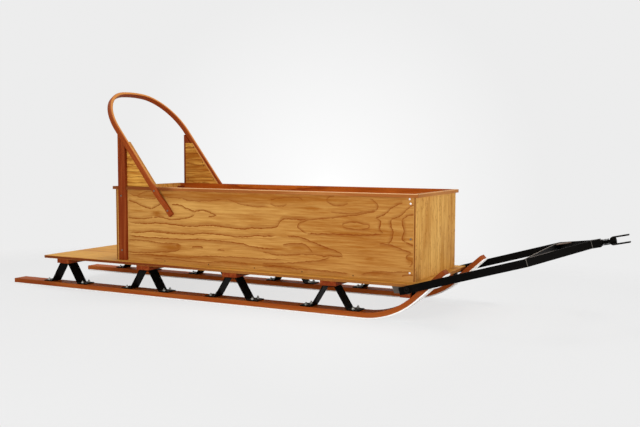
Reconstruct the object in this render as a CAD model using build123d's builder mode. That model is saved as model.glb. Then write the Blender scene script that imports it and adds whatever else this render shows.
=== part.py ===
from build123d import *
import os
from math import cos, hypot, radians, sin, tan

os.makedirs("parts", exist_ok=True)

# ---------------------------------------------------------------- driving sizes (mm, degrees)
# X runs forward along the sled, Y to its left, Z up from the ground.
# "Reach" values along X are measured from the rear face of the box. "Inset" values are measured
# back from the front face of the box for the crosspieces, and from the platform's front end for the rest.

# box
box_length = 1829.0
box_width = 610.0
box_height = 422.0
panel_thickness = 12.7
rim_height = 17.5
rim_thickness = 12.5
rim_round = 4.0
corner_cleat = 32.0
floor_cleat_width = 25.0
floor_cleat_height = 18.0

# platform
deck_width = 746.0
deck_thickness = 16.0
deck_tail = 502.0
deck_ledge = 43.0
deck_corner_round = 6.0
deck_edge_round = 2.5

# crosspieces under the platform, each standing on a pair of struts
crosspiece_width = 89.0
crosspiece_thickness = 25.0
crosspiece_inset = 6.0
crosspiece_round = 2.0
first_crosspiece_reach = -357.0
second_crosspiece_reach = 238.0
third_crosspiece_inset = 1016.0
fourth_crosspiece_inset = 436.0

# struts: flat bar bent into a truss, feet on the runner and a flat top under the crosspiece
strut_width = 72.0
strut_thickness = 6.0
strut_height = 117.5
strut_lean = 32.2
strut_top_half = 31.0
strut_foot = 62.0
strut_bend = 8.0

# runners
runner_offset = 320.0
runner_width = 89.0
runner_thickness = 25.0
runner_round = 2.5
shoe_thickness = 6.0
runner_tail = 760.0
toe_inset = 293.0
toe_radius = 410.0
toe_sweep = 42.5
toe_straight = 193.0
toe_corner = 20.0

# front bolster across the runners' toes, and the steel angles that tie it to them
bolster_inset = 97.0
bolster_width = 52.0
bolster_height = 51.0
bolster_round = 2.0
toe_bracket_thickness = 4.0
toe_bracket_width = 40.0
toe_bracket_leg = 38.0
toe_bracket_rise = 34.0

# posts, gussets and handlebar
post_rear = 33.0
post_width = 52.0
post_thickness = 20.0
post_round = 2.0
gusset_rear = 55.0
gusset_height = 253.0
gusset_setback = 8.0
packer_setback = 9.0
packer_depth = 20.0
bar_foot_reach = 303.0
bar_slope = 52.8
bar_depth = 30.0
bar_thickness = 20.5
bar_leg = 420.0
bar_drop = 183.0
bar_foot_straight = 43.0
bar_crank_top = 30.0
bar_corner_radius = 278.0
bar_crown_radius = 826.0
bar_round = 5.0

# drawbar
pivot_inset = 54.0
pivot_height = 164.5
drawbar_slope = 16.3
arm_height = 37.0
arm_thickness = 8.0
arm_clearance = 5.0
arm_heel = 41.0
arm_straight = 575.0
pin_radius = 8.0
pin_play = 0.05
pin_head_radius = 13.0
pin_head_thickness = 8.0
spacer_radius = 14.0
face_play = 0.3
plate_thickness = 6.0
plate_tail_length = 81.0
plate_nose_length = 9.0
plate_undercut = 11.0
plate_height = 32.0
plate_flange = 34.0
plate_flange_thickness = 5.0
crossbar_height = 30.0
crossbar_thickness = 8.0
taper_droop = 1.6

# hitch: a square tube, a sprung shaft through its closed end and a fork
hitch_droop = 3.8
tube_size = 38.0
tube_wall = 4.0
tube_start = 802.0
tube_length = 38.0
tube_end_wall = 6.0
collar_radius = 15.0
collar_length = 9.0
shaft_radius = 8.0
spring_length = 33.0
spring_radius = 15.0
spring_wall = 4.0
fork_width = 29.0
fork_thickness = 6.0
fork_gap = 28.0
fork_length = 87.0
fork_bend = 12.0
fork_boss_play = 0.4
fork_boss_length = 22.0
fork_pin_radius = 6.5
fork_pin_inset = 14.0
nut_radius = 12.0
nut_length = 12.0

# ---------------------------------------------------------------- sizes that follow
SIDES = (("left", 1), ("right", -1))

runner_top = shoe_thickness + runner_thickness
crosspiece_bottom = runner_top + strut_height
deck_bottom = crosspiece_bottom + crosspiece_thickness
deck_top = deck_bottom + deck_thickness
box_top = deck_top + box_height

CROSSPIECE_REACHES = (
    first_crosspiece_reach,
    second_crosspiece_reach,
    box_length - third_crosspiece_inset,
    box_length - fourth_crosspiece_inset,
)

# reaches of what follows the platform's front end
deck_reach = box_length + deck_ledge
toe_start = deck_reach - toe_inset
bolster_rear = deck_reach - bolster_inset
pivot_reach = deck_reach - pivot_inset

# distances along the hitch, from the rear end of its tube
collar_end = tube_length + collar_length
fork_start = collar_end + spring_length + 2 * face_play
fork_end = fork_start + fork_length
fork_half = fork_gap / 2 + fork_thickness
slope_cos = cos(radians(drawbar_slope))
slope_sin = sin(radians(drawbar_slope))
hitch_cos = cos(radians(drawbar_slope - hitch_droop))
hitch_sin = sin(radians(drawbar_slope - hitch_droop))
taper_drop = (tube_start - arm_straight) * tan(radians(taper_droop))
hitch_reach = pivot_reach + tube_start * slope_cos + taper_drop * slope_sin
hitch_height = pivot_height + tube_start * slope_sin - taper_drop * slope_cos
nose_reach = hitch_reach + fork_end * hitch_cos + fork_half * hitch_sin

# the overall length is centred on X = 0
box_rear = (runner_tail - nose_reach) / 2
box_front = box_rear + box_length
box_half = box_width / 2
deck_rear = box_rear - deck_tail
deck_front = box_rear + deck_reach
deck_half = deck_width / 2
pivot_x = box_rear + pivot_reach
arm_inner = deck_half + arm_clearance
arm_outer = arm_inner + arm_thickness
member_half = deck_half - crosspiece_inset


def side_plane(y):
    """Vertical plane along the sled at a given Y: local x is X, local y is Z."""
    return Plane(origin=(0, y, 0), x_dir=(1, 0, 0), z_dir=(0, -1, 0))


def runner_line(height, start):
    """Start of a runner line, its toe arc centre and its tip, for a height above the ground."""
    radius = toe_radius - height
    bend_x = box_rear + toe_start
    turn = radians(toe_sweep)
    arc_end = (bend_x + radius * sin(turn), toe_radius - radius * cos(turn))
    tip = (arc_end[0] + toe_straight * cos(turn), arc_end[1] + toe_straight * sin(turn))
    return (start, height), (bend_x, height), arc_end, tip


def runner_band(low, high, y, width):
    """Solid layer of a runner between two heights, following the upturned toe."""
    tail = box_rear - runner_tail
    with BuildPart() as band:
        with BuildSketch(side_plane(y)):
            with BuildLine():
                low_tail, low_bend, low_arc, low_tip = runner_line(low, tail)
                high_tail, high_bend, high_arc, high_tip = runner_line(high, tail)
                centre = (low_bend[0], toe_radius)
                Line(low_tail, low_bend)
                CenterArc(centre, toe_radius - low, -90, toe_sweep)
                Line(low_arc, low_tip)
                Line(low_tip, high_tip)
                Line(high_tip, high_arc)
                CenterArc(centre, toe_radius - high, -90, toe_sweep)
                Line(high_bend, high_tail)
                Line(high_tail, low_tail)
            make_face()
        extrude(amount=width / 2, both=True)
        toe_line = Axis((0, 0, 0), (cos(radians(toe_sweep)), 0, sin(radians(toe_sweep))))
        tip_edges = band.faces().sort_by(toe_line)[-1].edges()
        fillet(tip_edges.filter_by(Axis.Y, reverse=True), radius=toe_corner)
    return band.part


def keep(part, name):
    """Label a finished piece and write it out."""
    part.label = name
    export_step(part, f"parts/{name}.step")


# ---------------------------------------------------------------- platform
with BuildPart() as deck:
    with BuildSketch(Plane.XY.offset(deck_bottom)):
        with Locations(((deck_rear + deck_front) / 2, 0)):
            RectangleRounded(deck_front - deck_rear, deck_width, deck_corner_round)
    extrude(amount=deck_thickness)
    fillet(deck.faces().sort_by(Axis.Z)[-1].edges(), radius=deck_edge_round)
    fillet(deck.faces().sort_by(Axis.Z)[0].edges(), radius=deck_edge_round)
keep(deck.part, "deck")

# ---------------------------------------------------------------- box
side_length = box_length - 2 * panel_thickness
panel_middle = box_half - panel_thickness / 2
box_middle = (box_rear + box_front) / 2

for side_name, side in SIDES:
    with BuildPart() as side_panel:
        with BuildSketch(Plane.XY.offset(deck_top)):
            with Locations((box_middle, side * panel_middle)):
                Rectangle(side_length, panel_thickness)
        extrude(amount=box_height)
    keep(side_panel.part, f"side_panel_{side_name}")

END_PANELS = (
    # name, X of the panel's middle
    ("rear", box_rear + panel_thickness / 2),
    ("front", box_front - panel_thickness / 2),
)
for end_name, end_x in END_PANELS:
    with BuildPart() as end_panel:
        with BuildSketch(Plane.XY.offset(deck_top)):
            with Locations((end_x, 0)):
                Rectangle(panel_thickness, box_width)
        extrude(amount=box_height)
    keep(end_panel.part, f"{end_name}_panel")

# rim strips: the side strips run past the ends, and are cut where the posts pass
post_front = box_rear + post_rear + post_width
rim_bottom = box_top - rim_height
rim_front = box_front + rim_thickness
rim_rear = box_rear - rim_thickness
RIM_RUNS = (
    # start, end
    (rim_rear, box_rear + post_rear),
    (post_front, rim_front),
)
for side_name, side in SIDES:
    with BuildPart() as side_rim:
        with BuildSketch(Plane.XY.offset(rim_bottom)):
            for run_start, run_end in RIM_RUNS:
                with Locations(((run_start + run_end) / 2, side * (box_half + rim_thickness / 2))):
                    Rectangle(run_end - run_start, rim_thickness)
        extrude(amount=rim_height)
        rim_edges = side_rim.edges().filter_by(Axis.X).group_by(Axis.Z)[-1]
        fillet(rim_edges.group_by(Axis.Y)[-1 if side > 0 else 0], radius=rim_round)
    keep(side_rim.part, f"rim_{side_name}")

END_RIMS = (
    # name, X of the strip's middle, which group of edges is the outer one
    ("rear", box_rear - rim_thickness / 2, 0),
    ("front", box_front + rim_thickness / 2, -1),
)
for end_name, end_x, outer_group in END_RIMS:
    with BuildPart() as end_rim:
        with BuildSketch(Plane.XY.offset(rim_bottom)):
            with Locations((end_x, 0)):
                Rectangle(rim_thickness, box_width)
        extrude(amount=rim_height)
        rim_edges = end_rim.edges().filter_by(Axis.Y).group_by(Axis.Z)[-1]
        fillet(rim_edges.group_by(Axis.X)[outer_group], radius=rim_round)
    keep(end_rim.part, f"rim_{end_name}")

# cleats inside the corners and along the foot of the side panels
inner_half = box_half - panel_thickness
inner_rear = box_rear + panel_thickness
inner_front = box_front - panel_thickness
CLEAT_ENDS = (
    # name, X of the cleat's middle
    ("rear", inner_rear + corner_cleat / 2),
    ("front", inner_front - corner_cleat / 2),
)
cleat_height = box_height - rim_height
for end_name, end_x in CLEAT_ENDS:
    for side_name, side in SIDES:
        with BuildPart() as cleat:
            with BuildSketch(Plane.XY.offset(deck_top)):
                with Locations((end_x, side * (inner_half - corner_cleat / 2))):
                    Rectangle(corner_cleat, corner_cleat)
            extrude(amount=cleat_height)
        keep(cleat.part, f"corner_cleat_{end_name}_{side_name}")

floor_cleat_length = inner_front - inner_rear - 2 * corner_cleat
for side_name, side in SIDES:
    with BuildPart() as floor_cleat:
        with BuildSketch(Plane.XY.offset(deck_top)):
            with Locations((box_middle, side * (inner_half - floor_cleat_width / 2))):
                Rectangle(floor_cleat_length, floor_cleat_width)
        extrude(amount=floor_cleat_height)
    keep(floor_cleat.part, f"floor_cleat_{side_name}")

# ---------------------------------------------------------------- runners and their shoes
for side_name, side in SIDES:
    with BuildPart() as runner:
        add(runner_band(shoe_thickness, runner_top, side * runner_offset, runner_width))
        tail_edges = runner.edges().filter_by(Axis.Y).group_by(Axis.X)[0]
        fillet(tail_edges.group_by(Axis.Z)[-1], radius=runner_round)
    keep(runner.part, f"runner_{side_name}")

    with BuildPart() as shoe:
        add(runner_band(0, shoe_thickness, side * runner_offset, runner_width))
    keep(shoe.part, f"runner_shoe_{side_name}")

# ---------------------------------------------------------------- crosspieces and struts
for index, reach in enumerate(CROSSPIECE_REACHES, start=1):
    middle_x = box_rear + reach
    with BuildPart() as crosspiece:
        with BuildSketch(Plane.XY.offset(crosspiece_bottom)):
            with Locations((middle_x, 0)):
                Rectangle(crosspiece_width, 2 * member_half)
        extrude(amount=crosspiece_thickness)
        fillet(crosspiece.edges().filter_by(Axis.Y).group_by(Axis.Z)[0], radius=crosspiece_round)
    keep(crosspiece.part, f"crosspiece_{index}")

    foot_z = runner_top + strut_thickness / 2
    top_z = crosspiece_bottom - strut_thickness / 2
    ankle = strut_top_half + (top_z - foot_z) * tan(radians(strut_lean))
    toe = ankle + strut_foot
    outline = ((-toe, foot_z), (-ankle, foot_z), (-strut_top_half, top_z))
    points = outline + tuple((-x, z) for x, z in reversed(outline))
    for side_name, side in SIDES:
        strap_plane = side_plane(side * runner_offset)
        with BuildPart() as strut:
            with BuildLine(strap_plane) as path:
                FilletPolyline(*[(middle_x + x, z) for x, z in points], radius=strut_bend)
            with BuildSketch(Plane(origin=path.line @ 0, x_dir=(0, 1, 0), z_dir=path.line % 0)):
                Rectangle(strut_width, strut_thickness)
            sweep()
        keep(strut.part, f"strut_{index}_{side_name}")

# ---------------------------------------------------------------- front bolster and its brackets
bolster_bottom = deck_bottom - bolster_height
bolster_front = box_rear + bolster_rear + bolster_width
with BuildPart() as bolster:
    with BuildSketch(Plane.XY.offset(bolster_bottom)):
        with Locations((bolster_front - bolster_width / 2, 0)):
            Rectangle(bolster_width, 2 * member_half)
    extrude(amount=bolster_height)
    fillet(bolster.edges().filter_by(Axis.Y).group_by(Axis.Z)[0], radius=bolster_round)
    for side_name, side in SIDES:
        add(runner_band(0, runner_top, side * runner_offset, runner_width), mode=Mode.SUBTRACT)
keep(bolster.part, "front_bolster")

# one leg stands against the bolster and the other lies along the slope of the toe, fitted to its curve
toe_cos = cos(radians(toe_sweep))
toe_sin = sin(radians(toe_sweep))
arc_top = runner_line(runner_top, 0)[2]
heel_z = arc_top[1] + (bolster_front - arc_top[0]) * tan(radians(toe_sweep))
inner_x = bolster_front + toe_bracket_thickness
inner_z = heel_z + toe_bracket_thickness * (tan(radians(toe_sweep)) + 1 / toe_cos)
bracket_tip = (bolster_front + toe_bracket_leg * toe_cos, heel_z + toe_bracket_leg * toe_sin)
bracket_points = (
    (bolster_front, heel_z),
    bracket_tip,
    (bracket_tip[0] - toe_bracket_thickness * toe_sin, bracket_tip[1] + toe_bracket_thickness * toe_cos),
    (inner_x, inner_z),
    (inner_x, heel_z + toe_bracket_rise),
    (bolster_front, heel_z + toe_bracket_rise),
)
for side_name, side in SIDES:
    with BuildPart() as toe_bracket:
        with BuildSketch(side_plane(side * runner_offset)):
            with BuildLine():
                Polyline(*bracket_points, close=True)
            make_face()
        extrude(amount=toe_bracket_width / 2, both=True)
        add(runner_band(0, runner_top, side * runner_offset, runner_width), mode=Mode.SUBTRACT)
    keep(toe_bracket.part, f"toe_bracket_{side_name}")

# ---------------------------------------------------------------- handlebar
# The bar is flat in a plane that leans back; its sketch plane is the front face of the bar,
# with local x across the sled and local y up the slope from the top of the box.
bar_cos = cos(radians(bar_slope))
bar_sin = sin(radians(bar_slope))
bar_inner = box_half + rim_thickness
bar_outer = bar_inner + bar_thickness
bar_plane = Plane(
    origin=(box_rear + bar_foot_reach, 0, box_top), x_dir=(0, 1, 0), z_dir=(bar_sin, 0, bar_cos)
)


def crown_blend(outer_x, corner_radius, crown_radius):
    """Touch point of the corner and crown arcs, and the height of the crown's top."""
    corner_x = outer_x - corner_radius
    gap = crown_radius - corner_radius
    crown_y = bar_leg - (gap ** 2 - corner_x ** 2) ** 0.5
    touch_x = corner_x * crown_radius / gap
    touch_y = crown_y + (bar_leg - crown_y) * crown_radius / gap
    return (touch_x, touch_y), crown_y + crown_radius


def bar_side(x_at_rim, x_at_foot, corner_radius, crown_radius):
    """Points of one edge of the bar: foot, crank, leg, corner mid point, crown touch point and top."""
    (touch_x, touch_y), top_y = crown_blend(x_at_rim, corner_radius, crown_radius)
    corner_x = x_at_rim - corner_radius
    turn_x = touch_x - corner_x
    turn_y = touch_y - bar_leg
    spread = hypot(corner_radius + turn_x, turn_y)
    middle = (
        corner_x + corner_radius * (corner_radius + turn_x) / spread,
        bar_leg + corner_radius * turn_y / spread,
    )
    crank_low = bar_foot_straight - bar_drop
    return (
        (x_at_foot, -bar_drop), (x_at_foot, crank_low), (x_at_rim, -bar_crank_top),
        (x_at_rim, bar_leg), middle, (touch_x, touch_y), (0, top_y),
    )


with BuildPart() as handlebar:
    with BuildSketch(bar_plane):
        with BuildLine():
            for x_rim, x_foot, corner, crown in (
                (bar_outer, box_half + bar_thickness, bar_corner_radius, bar_crown_radius),
                (
                    bar_inner, box_half,
                    bar_corner_radius - bar_thickness, bar_crown_radius - bar_thickness,
                ),
            ):
                foot, crank_low, crank_high, leg_top, middle, touch, top = bar_side(
                    x_rim, x_foot, corner, crown
                )
                for mirror_x in (1, -1):
                    Line((mirror_x * foot[0], foot[1]), (mirror_x * crank_low[0], crank_low[1]))
                    Spline(
                        (mirror_x * crank_low[0], crank_low[1]),
                        (mirror_x * crank_high[0], crank_high[1]),
                        tangents=((0, 1), (0, 1)),
                    )
                    Line((mirror_x * crank_high[0], crank_high[1]), (mirror_x * leg_top[0], leg_top[1]))
                    ThreePointArc(
                        (mirror_x * leg_top[0], leg_top[1]),
                        (mirror_x * middle[0], middle[1]),
                        (mirror_x * touch[0], touch[1]),
                    )
                ThreePointArc(touch, top, (-touch[0], touch[1]))
            for mirror_x in (1, -1):
                Line((mirror_x * box_half, -bar_drop), (mirror_x * (box_half + bar_thickness), -bar_drop))
        make_face()
    extrude(amount=-bar_depth)
    bar_faces = handlebar.faces().sort_by(Axis(bar_plane.origin, bar_plane.z_dir))
    rim_edges = bar_faces[-1].edges() + bar_faces[0].edges()
    fillet(rim_edges.filter_by(lambda edge: edge.length > 2 * bar_thickness), radius=bar_round)
keep(handlebar.part, "handlebar")

# posts: outside the side panels, cut off along the back of the handlebar
slope_run = bar_cos / bar_sin


def bar_x(setback, height):
    """X of a plane parallel to the bar's front, set back by a distance, at a height over the box top."""
    return box_rear + bar_foot_reach - height * slope_run - setback / bar_sin


def bar_height(setback, x):
    """Height over the box top of the same plane at a given X."""
    return (box_rear + bar_foot_reach - x - setback / bar_sin) / slope_run


post_rear_x = box_rear + post_rear
post_points = (
    (post_rear_x, deck_top),
    (post_front, deck_top),
    (post_front, box_top + bar_height(bar_depth, post_front)),
    (post_rear_x, box_top + bar_height(bar_depth, post_rear_x)),
)
gusset_rear_x = box_rear + gusset_rear
gusset_top = box_top + gusset_height
gusset_points = (
    (gusset_rear_x, box_top),
    (bar_x(gusset_setback, 0), box_top),
    (bar_x(gusset_setback, gusset_height), gusset_top),
    (gusset_rear_x, gusset_top),
)
packer_back = packer_setback + packer_depth
packer_points = (
    (bar_x(packer_back, 0), box_top),
    (bar_x(packer_setback, 0), box_top),
    (bar_x(packer_setback, gusset_height), gusset_top),
    (bar_x(packer_back, gusset_height), gusset_top),
)
for side_name, side in SIDES:
    with BuildPart() as post:
        with BuildSketch(side_plane(side * (box_half + post_thickness / 2))):
            with BuildLine():
                Polyline(*post_points, close=True)
            make_face()
        extrude(amount=post_thickness / 2, both=True)
        outer_edges = post.edges().filter_by(Axis.Z).group_by(Axis.Y)[-1 if side > 0 else 0]
        fillet(outer_edges, radius=post_round)
    keep(post.part, f"post_{side_name}")

    with BuildPart() as gusset:
        with BuildSketch(side_plane(side * panel_middle)):
            with BuildLine():
                Polyline(*gusset_points, close=True)
            make_face()
        extrude(amount=panel_thickness / 2, both=True)
    keep(gusset.part, f"gusset_{side_name}")

    with BuildPart() as packer:
        with BuildSketch(side_plane(side * (box_half + rim_thickness / 2))):
            with BuildLine():
                Polyline(*packer_points, close=True)
            make_face()
        extrude(amount=rim_thickness / 2, both=True)
    keep(packer.part, f"packer_{side_name}")

# ---------------------------------------------------------------- drawbar mounts
plate_inner = member_half
plate_outer = plate_inner + plate_thickness
plate_bottom = deck_bottom - plate_height
plate_tail = pivot_x - plate_tail_length
plate_nose = pivot_x + plate_nose_length
plate_points = (
    (plate_tail, deck_bottom),
    (plate_tail + plate_undercut, plate_bottom),
    (plate_nose, plate_bottom),
    (plate_nose, deck_bottom),
)
bolster_back = box_rear + bolster_rear
pin_end = arm_outer + face_play + pin_head_thickness
for side_name, side in SIDES:
    outward = Plane(origin=(pivot_x, 0, pivot_height), x_dir=(1, 0, 0), z_dir=(0, side, 0))
    with BuildPart() as mount:
        with BuildSketch(side_plane(side * (plate_inner + plate_thickness / 2))):
            with BuildLine():
                Polyline(*plate_points, close=True)
            make_face()
        extrude(amount=plate_thickness / 2, both=True)
        with BuildSketch(Plane.XY.offset(deck_bottom)):
            with Locations(((plate_tail + bolster_back) / 2, side * (plate_outer - plate_flange / 2))):
                Rectangle(bolster_back - plate_tail, plate_flange)
        extrude(amount=-plate_flange_thickness)
        with BuildSketch(outward.offset(plate_outer)):
            Circle(spacer_radius)
        extrude(amount=arm_inner - face_play - plate_outer)
        with BuildSketch(outward.offset(plate_outer)):
            Circle(pin_radius - pin_play)
        extrude(amount=pin_end - plate_outer)
        with BuildSketch(outward.offset(arm_outer + face_play)):
            Circle(pin_head_radius)
        extrude(amount=pin_head_thickness)
    keep(mount.part, f"drawbar_mount_{side_name}")

# ---------------------------------------------------------------- drawbar
# Local frame of the drawbar: x along it from the pivot, y to the left, z square to both.
drawbar_plane = Plane(
    origin=(pivot_x, 0, pivot_height), x_dir=(slope_cos, 0, slope_sin), z_dir=(-slope_sin, 0, slope_cos)
)
arm_middle = arm_inner + arm_thickness / 2
tube_half = tube_size / 2
arm_side = Plane(origin=drawbar_plane.origin, x_dir=drawbar_plane.x_dir, z_dir=(0, -1, 0))
end_lean = arm_height / 2 * sin(radians(hitch_droop))
end_rise = arm_height / 2 * cos(radians(hitch_droop))
arm_end = tube_start + end_lean
arm_profile = (
    (-arm_heel, -arm_height / 2),
    (arm_straight, -arm_height / 2),
    (tube_start - end_lean, -taper_drop - end_rise),
    (arm_end, -taper_drop + end_rise),
    (arm_straight, arm_height / 2),
    (-arm_heel, arm_height / 2),
)
hitch_origin = (box_rear + hitch_reach, 0, hitch_height)
hitch_plane = Plane(origin=hitch_origin, x_dir=(0, 1, 0), z_dir=(hitch_cos, 0, hitch_sin))
for side_name, side in SIDES:
    with BuildPart() as arm:
        with BuildSketch(drawbar_plane):
            with BuildLine():
                Polyline(
                    (-arm_heel, side * arm_inner),
                    (arm_straight, side * arm_inner),
                    (tube_start, side * (tube_half - arm_thickness)),
                    (arm_end, side * (tube_half - arm_thickness)),
                    (arm_end, side * tube_half),
                    (tube_start, side * tube_half),
                    (arm_straight + arm_thickness / 2, side * arm_outer),
                    (-arm_heel, side * arm_outer),
                    close=True,
                )
            make_face()
        extrude(amount=arm_height, both=True)
        with BuildSketch(arm_side):
            with BuildLine():
                Polyline(*arm_profile, close=True)
            make_face()
        extrude(amount=arm_outer, both=True, mode=Mode.INTERSECT)
        with Locations(Plane(origin=(pivot_x, side * arm_middle, pivot_height), z_dir=(0, 1, 0))):
            Hole(radius=pin_radius)
    keep(arm.part, f"drawbar_arm_{side_name}")

with BuildPart() as crossbar:
    with BuildSketch(drawbar_plane.offset(arm_height / 2)):
        with Locations((arm_straight - crossbar_thickness / 2, 0)):
            Rectangle(crossbar_thickness, 2 * arm_inner)
    extrude(amount=-crossbar_height)
keep(crossbar.part, "drawbar_crossbar")

# ---------------------------------------------------------------- hitch
# The hitch has its own line, drooping a little from the drawbar's; distances start at the tube's rear end.
fork_side = Plane(origin=hitch_origin, x_dir=(hitch_cos, 0, hitch_sin), z_dir=(0, -1, 0))
fork_top = Plane(origin=hitch_origin, x_dir=(hitch_cos, 0, hitch_sin), z_dir=(-hitch_sin, 0, hitch_cos))
with BuildPart() as hitch_tube:
    with BuildSketch(hitch_plane):
        Rectangle(tube_size, tube_size)
        Rectangle(tube_size - 2 * tube_wall, tube_size - 2 * tube_wall, mode=Mode.SUBTRACT)
    extrude(amount=tube_length - tube_end_wall)
    with BuildSketch(hitch_plane.offset(tube_length - tube_end_wall)):
        Rectangle(tube_size, tube_size)
        Circle(shaft_radius, mode=Mode.SUBTRACT)
    extrude(amount=tube_end_wall)
    with BuildSketch(hitch_plane.offset(tube_length)):
        Circle(collar_radius)
        Circle(shaft_radius, mode=Mode.SUBTRACT)
    extrude(amount=collar_length)
keep(hitch_tube.part, "hitch_tube")

with BuildPart() as hitch_spring:
    with BuildSketch(hitch_plane.offset(collar_end + face_play)):
        Circle(spring_radius)
        Circle(spring_radius - spring_wall, mode=Mode.SUBTRACT)
    extrude(amount=spring_length)
keep(hitch_spring.part, "hitch_spring")

nut_start = tube_length - tube_end_wall - face_play - nut_length
fork_lane = fork_gap / 2 + fork_thickness / 2
fork_back = fork_start + fork_thickness / 2
with BuildPart() as hitch_fork:
    with BuildLine(fork_side) as path:
        FilletPolyline(
            (fork_end, -fork_lane), (fork_back, -fork_lane), (fork_back, fork_lane), (fork_end, fork_lane),
            radius=fork_bend,
        )
    with BuildSketch(Plane(origin=path.line @ 0, x_dir=(0, 1, 0), z_dir=path.line % 0)):
        Rectangle(fork_width, fork_thickness)
    sweep()
    with BuildSketch(hitch_plane.offset(nut_start)):
        Circle(shaft_radius - pin_play)
    extrude(amount=fork_start + fork_thickness - nut_start)
    with BuildSketch(hitch_plane.offset(fork_start + fork_thickness / 2)):
        Circle(fork_gap / 2 - fork_boss_play)
    extrude(amount=fork_thickness / 2 + fork_boss_length)
    with Locations(fork_top * Location((fork_end - fork_pin_inset, 0, 0))):
        Hole(radius=fork_pin_radius)
keep(hitch_fork.part, "hitch_fork")

with BuildPart() as hitch_nut:
    with BuildSketch(hitch_plane.offset(nut_start)):
        RegularPolygon(nut_radius, 6)
        Circle(shaft_radius - pin_play, mode=Mode.SUBTRACT)
    extrude(amount=nut_length)
keep(hitch_nut.part, "hitch_nut")
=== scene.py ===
"""Looks of a freight dog sled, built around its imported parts.

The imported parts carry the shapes. This file gives them their finishes and adds what is left to it: the coil
spring of the hitch, the screws, bolts, nuts and weld beads, and the studio they stand in.
Lengths are metres in the parts' own frame: X forward along the sled, Y to its left, Z up from the ground.
"""

from __future__ import annotations

import logging
import math
from dataclasses import dataclass
from enum import Enum
from typing import Iterable, Sequence

import bmesh
import bpy
from mathutils import Matrix, Vector


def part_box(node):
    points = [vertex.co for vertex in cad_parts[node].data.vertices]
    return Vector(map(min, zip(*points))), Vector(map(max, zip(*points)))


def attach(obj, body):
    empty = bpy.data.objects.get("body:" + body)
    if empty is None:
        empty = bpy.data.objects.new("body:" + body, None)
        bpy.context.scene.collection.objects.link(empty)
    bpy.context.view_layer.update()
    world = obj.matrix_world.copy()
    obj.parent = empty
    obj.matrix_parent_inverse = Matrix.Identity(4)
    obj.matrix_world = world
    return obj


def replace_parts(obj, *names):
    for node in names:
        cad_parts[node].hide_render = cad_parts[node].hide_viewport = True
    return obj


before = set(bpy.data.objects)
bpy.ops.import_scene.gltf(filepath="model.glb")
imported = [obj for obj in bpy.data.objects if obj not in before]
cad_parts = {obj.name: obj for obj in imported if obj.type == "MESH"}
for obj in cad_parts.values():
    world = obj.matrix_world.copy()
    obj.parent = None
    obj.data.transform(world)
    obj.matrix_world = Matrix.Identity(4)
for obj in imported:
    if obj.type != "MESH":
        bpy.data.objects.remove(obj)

LOG = logging.getLogger("dog_sled")
MM = 0.001
Point = tuple[float, float, float]
Colour = tuple[float, float, float]


class Grain(Enum):
    """Which way the grain of a board runs, across its face and through it: along, across, depth."""

    ALONG_X_UPRIGHT = ("X", "Z", "Y")
    ALONG_X_FLAT = ("X", "Y", "Z")
    ALONG_Y_FLAT = ("Y", "X", "Z")
    ALONG_Z_FACING_X = ("Z", "Y", "X")
    ALONG_Z_FACING_Y = ("Z", "X", "Y")


# ---------------------------------------------------------------- shader maths
class Value:
    """One shader number. Python operators on it add Math nodes."""

    def __init__(self, maker: "NodeMaker", socket: bpy.types.NodeSocket) -> None:
        """Wrap a socket.

        Args:
            maker: adds the nodes that operators need.
            socket: the output that holds the number.
        """
        self.maker = maker
        self.socket = socket

    def math(self, operation: str, *others: "Value | float") -> "Value":
        """Add a Math node whose first value is this one.

        Args:
            operation: Blender's name of the operation.
            others: the values that follow this one.

        Returns:
            The node's result.
        """
        inputs = dict(enumerate((self, *others)))
        return self.maker.value("ShaderNodeMath", {"operation": operation}, inputs)

    def __add__(self, other: "Value | float") -> "Value":
        """Sum."""
        return self.math("ADD", other)

    __radd__ = __add__

    def __sub__(self, other: "Value | float") -> "Value":
        """Difference."""
        return self.math("SUBTRACT", other)

    def __rsub__(self, other: float) -> "Value":
        """Difference from a number, as in 1 - mask."""
        return (self * -1.0).math("ADD", other)

    def __mul__(self, other: "Value | float") -> "Value":
        """Product."""
        return self.math("MULTIPLY", other)

    __rmul__ = __mul__

    def __truediv__(self, other: "Value | float") -> "Value":
        """Quotient."""
        return self.math("DIVIDE", other)

    def __pow__(self, other: "Value | float") -> "Value":
        """Power."""
        return self.math("POWER", other)

    def __abs__(self) -> "Value":
        """Size without sign."""
        return self.math("ABSOLUTE")

    def step(self, low: float, high: float) -> "Value":
        """Rise smoothly from 0 at low to 1 at high."""
        settings = {"interpolation_type": "SMOOTHSTEP", "clamp": False}
        inputs = {"Value": self, "From Min": low, "From Max": high}
        return self.maker.value("ShaderNodeMapRange", settings, inputs)


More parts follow.
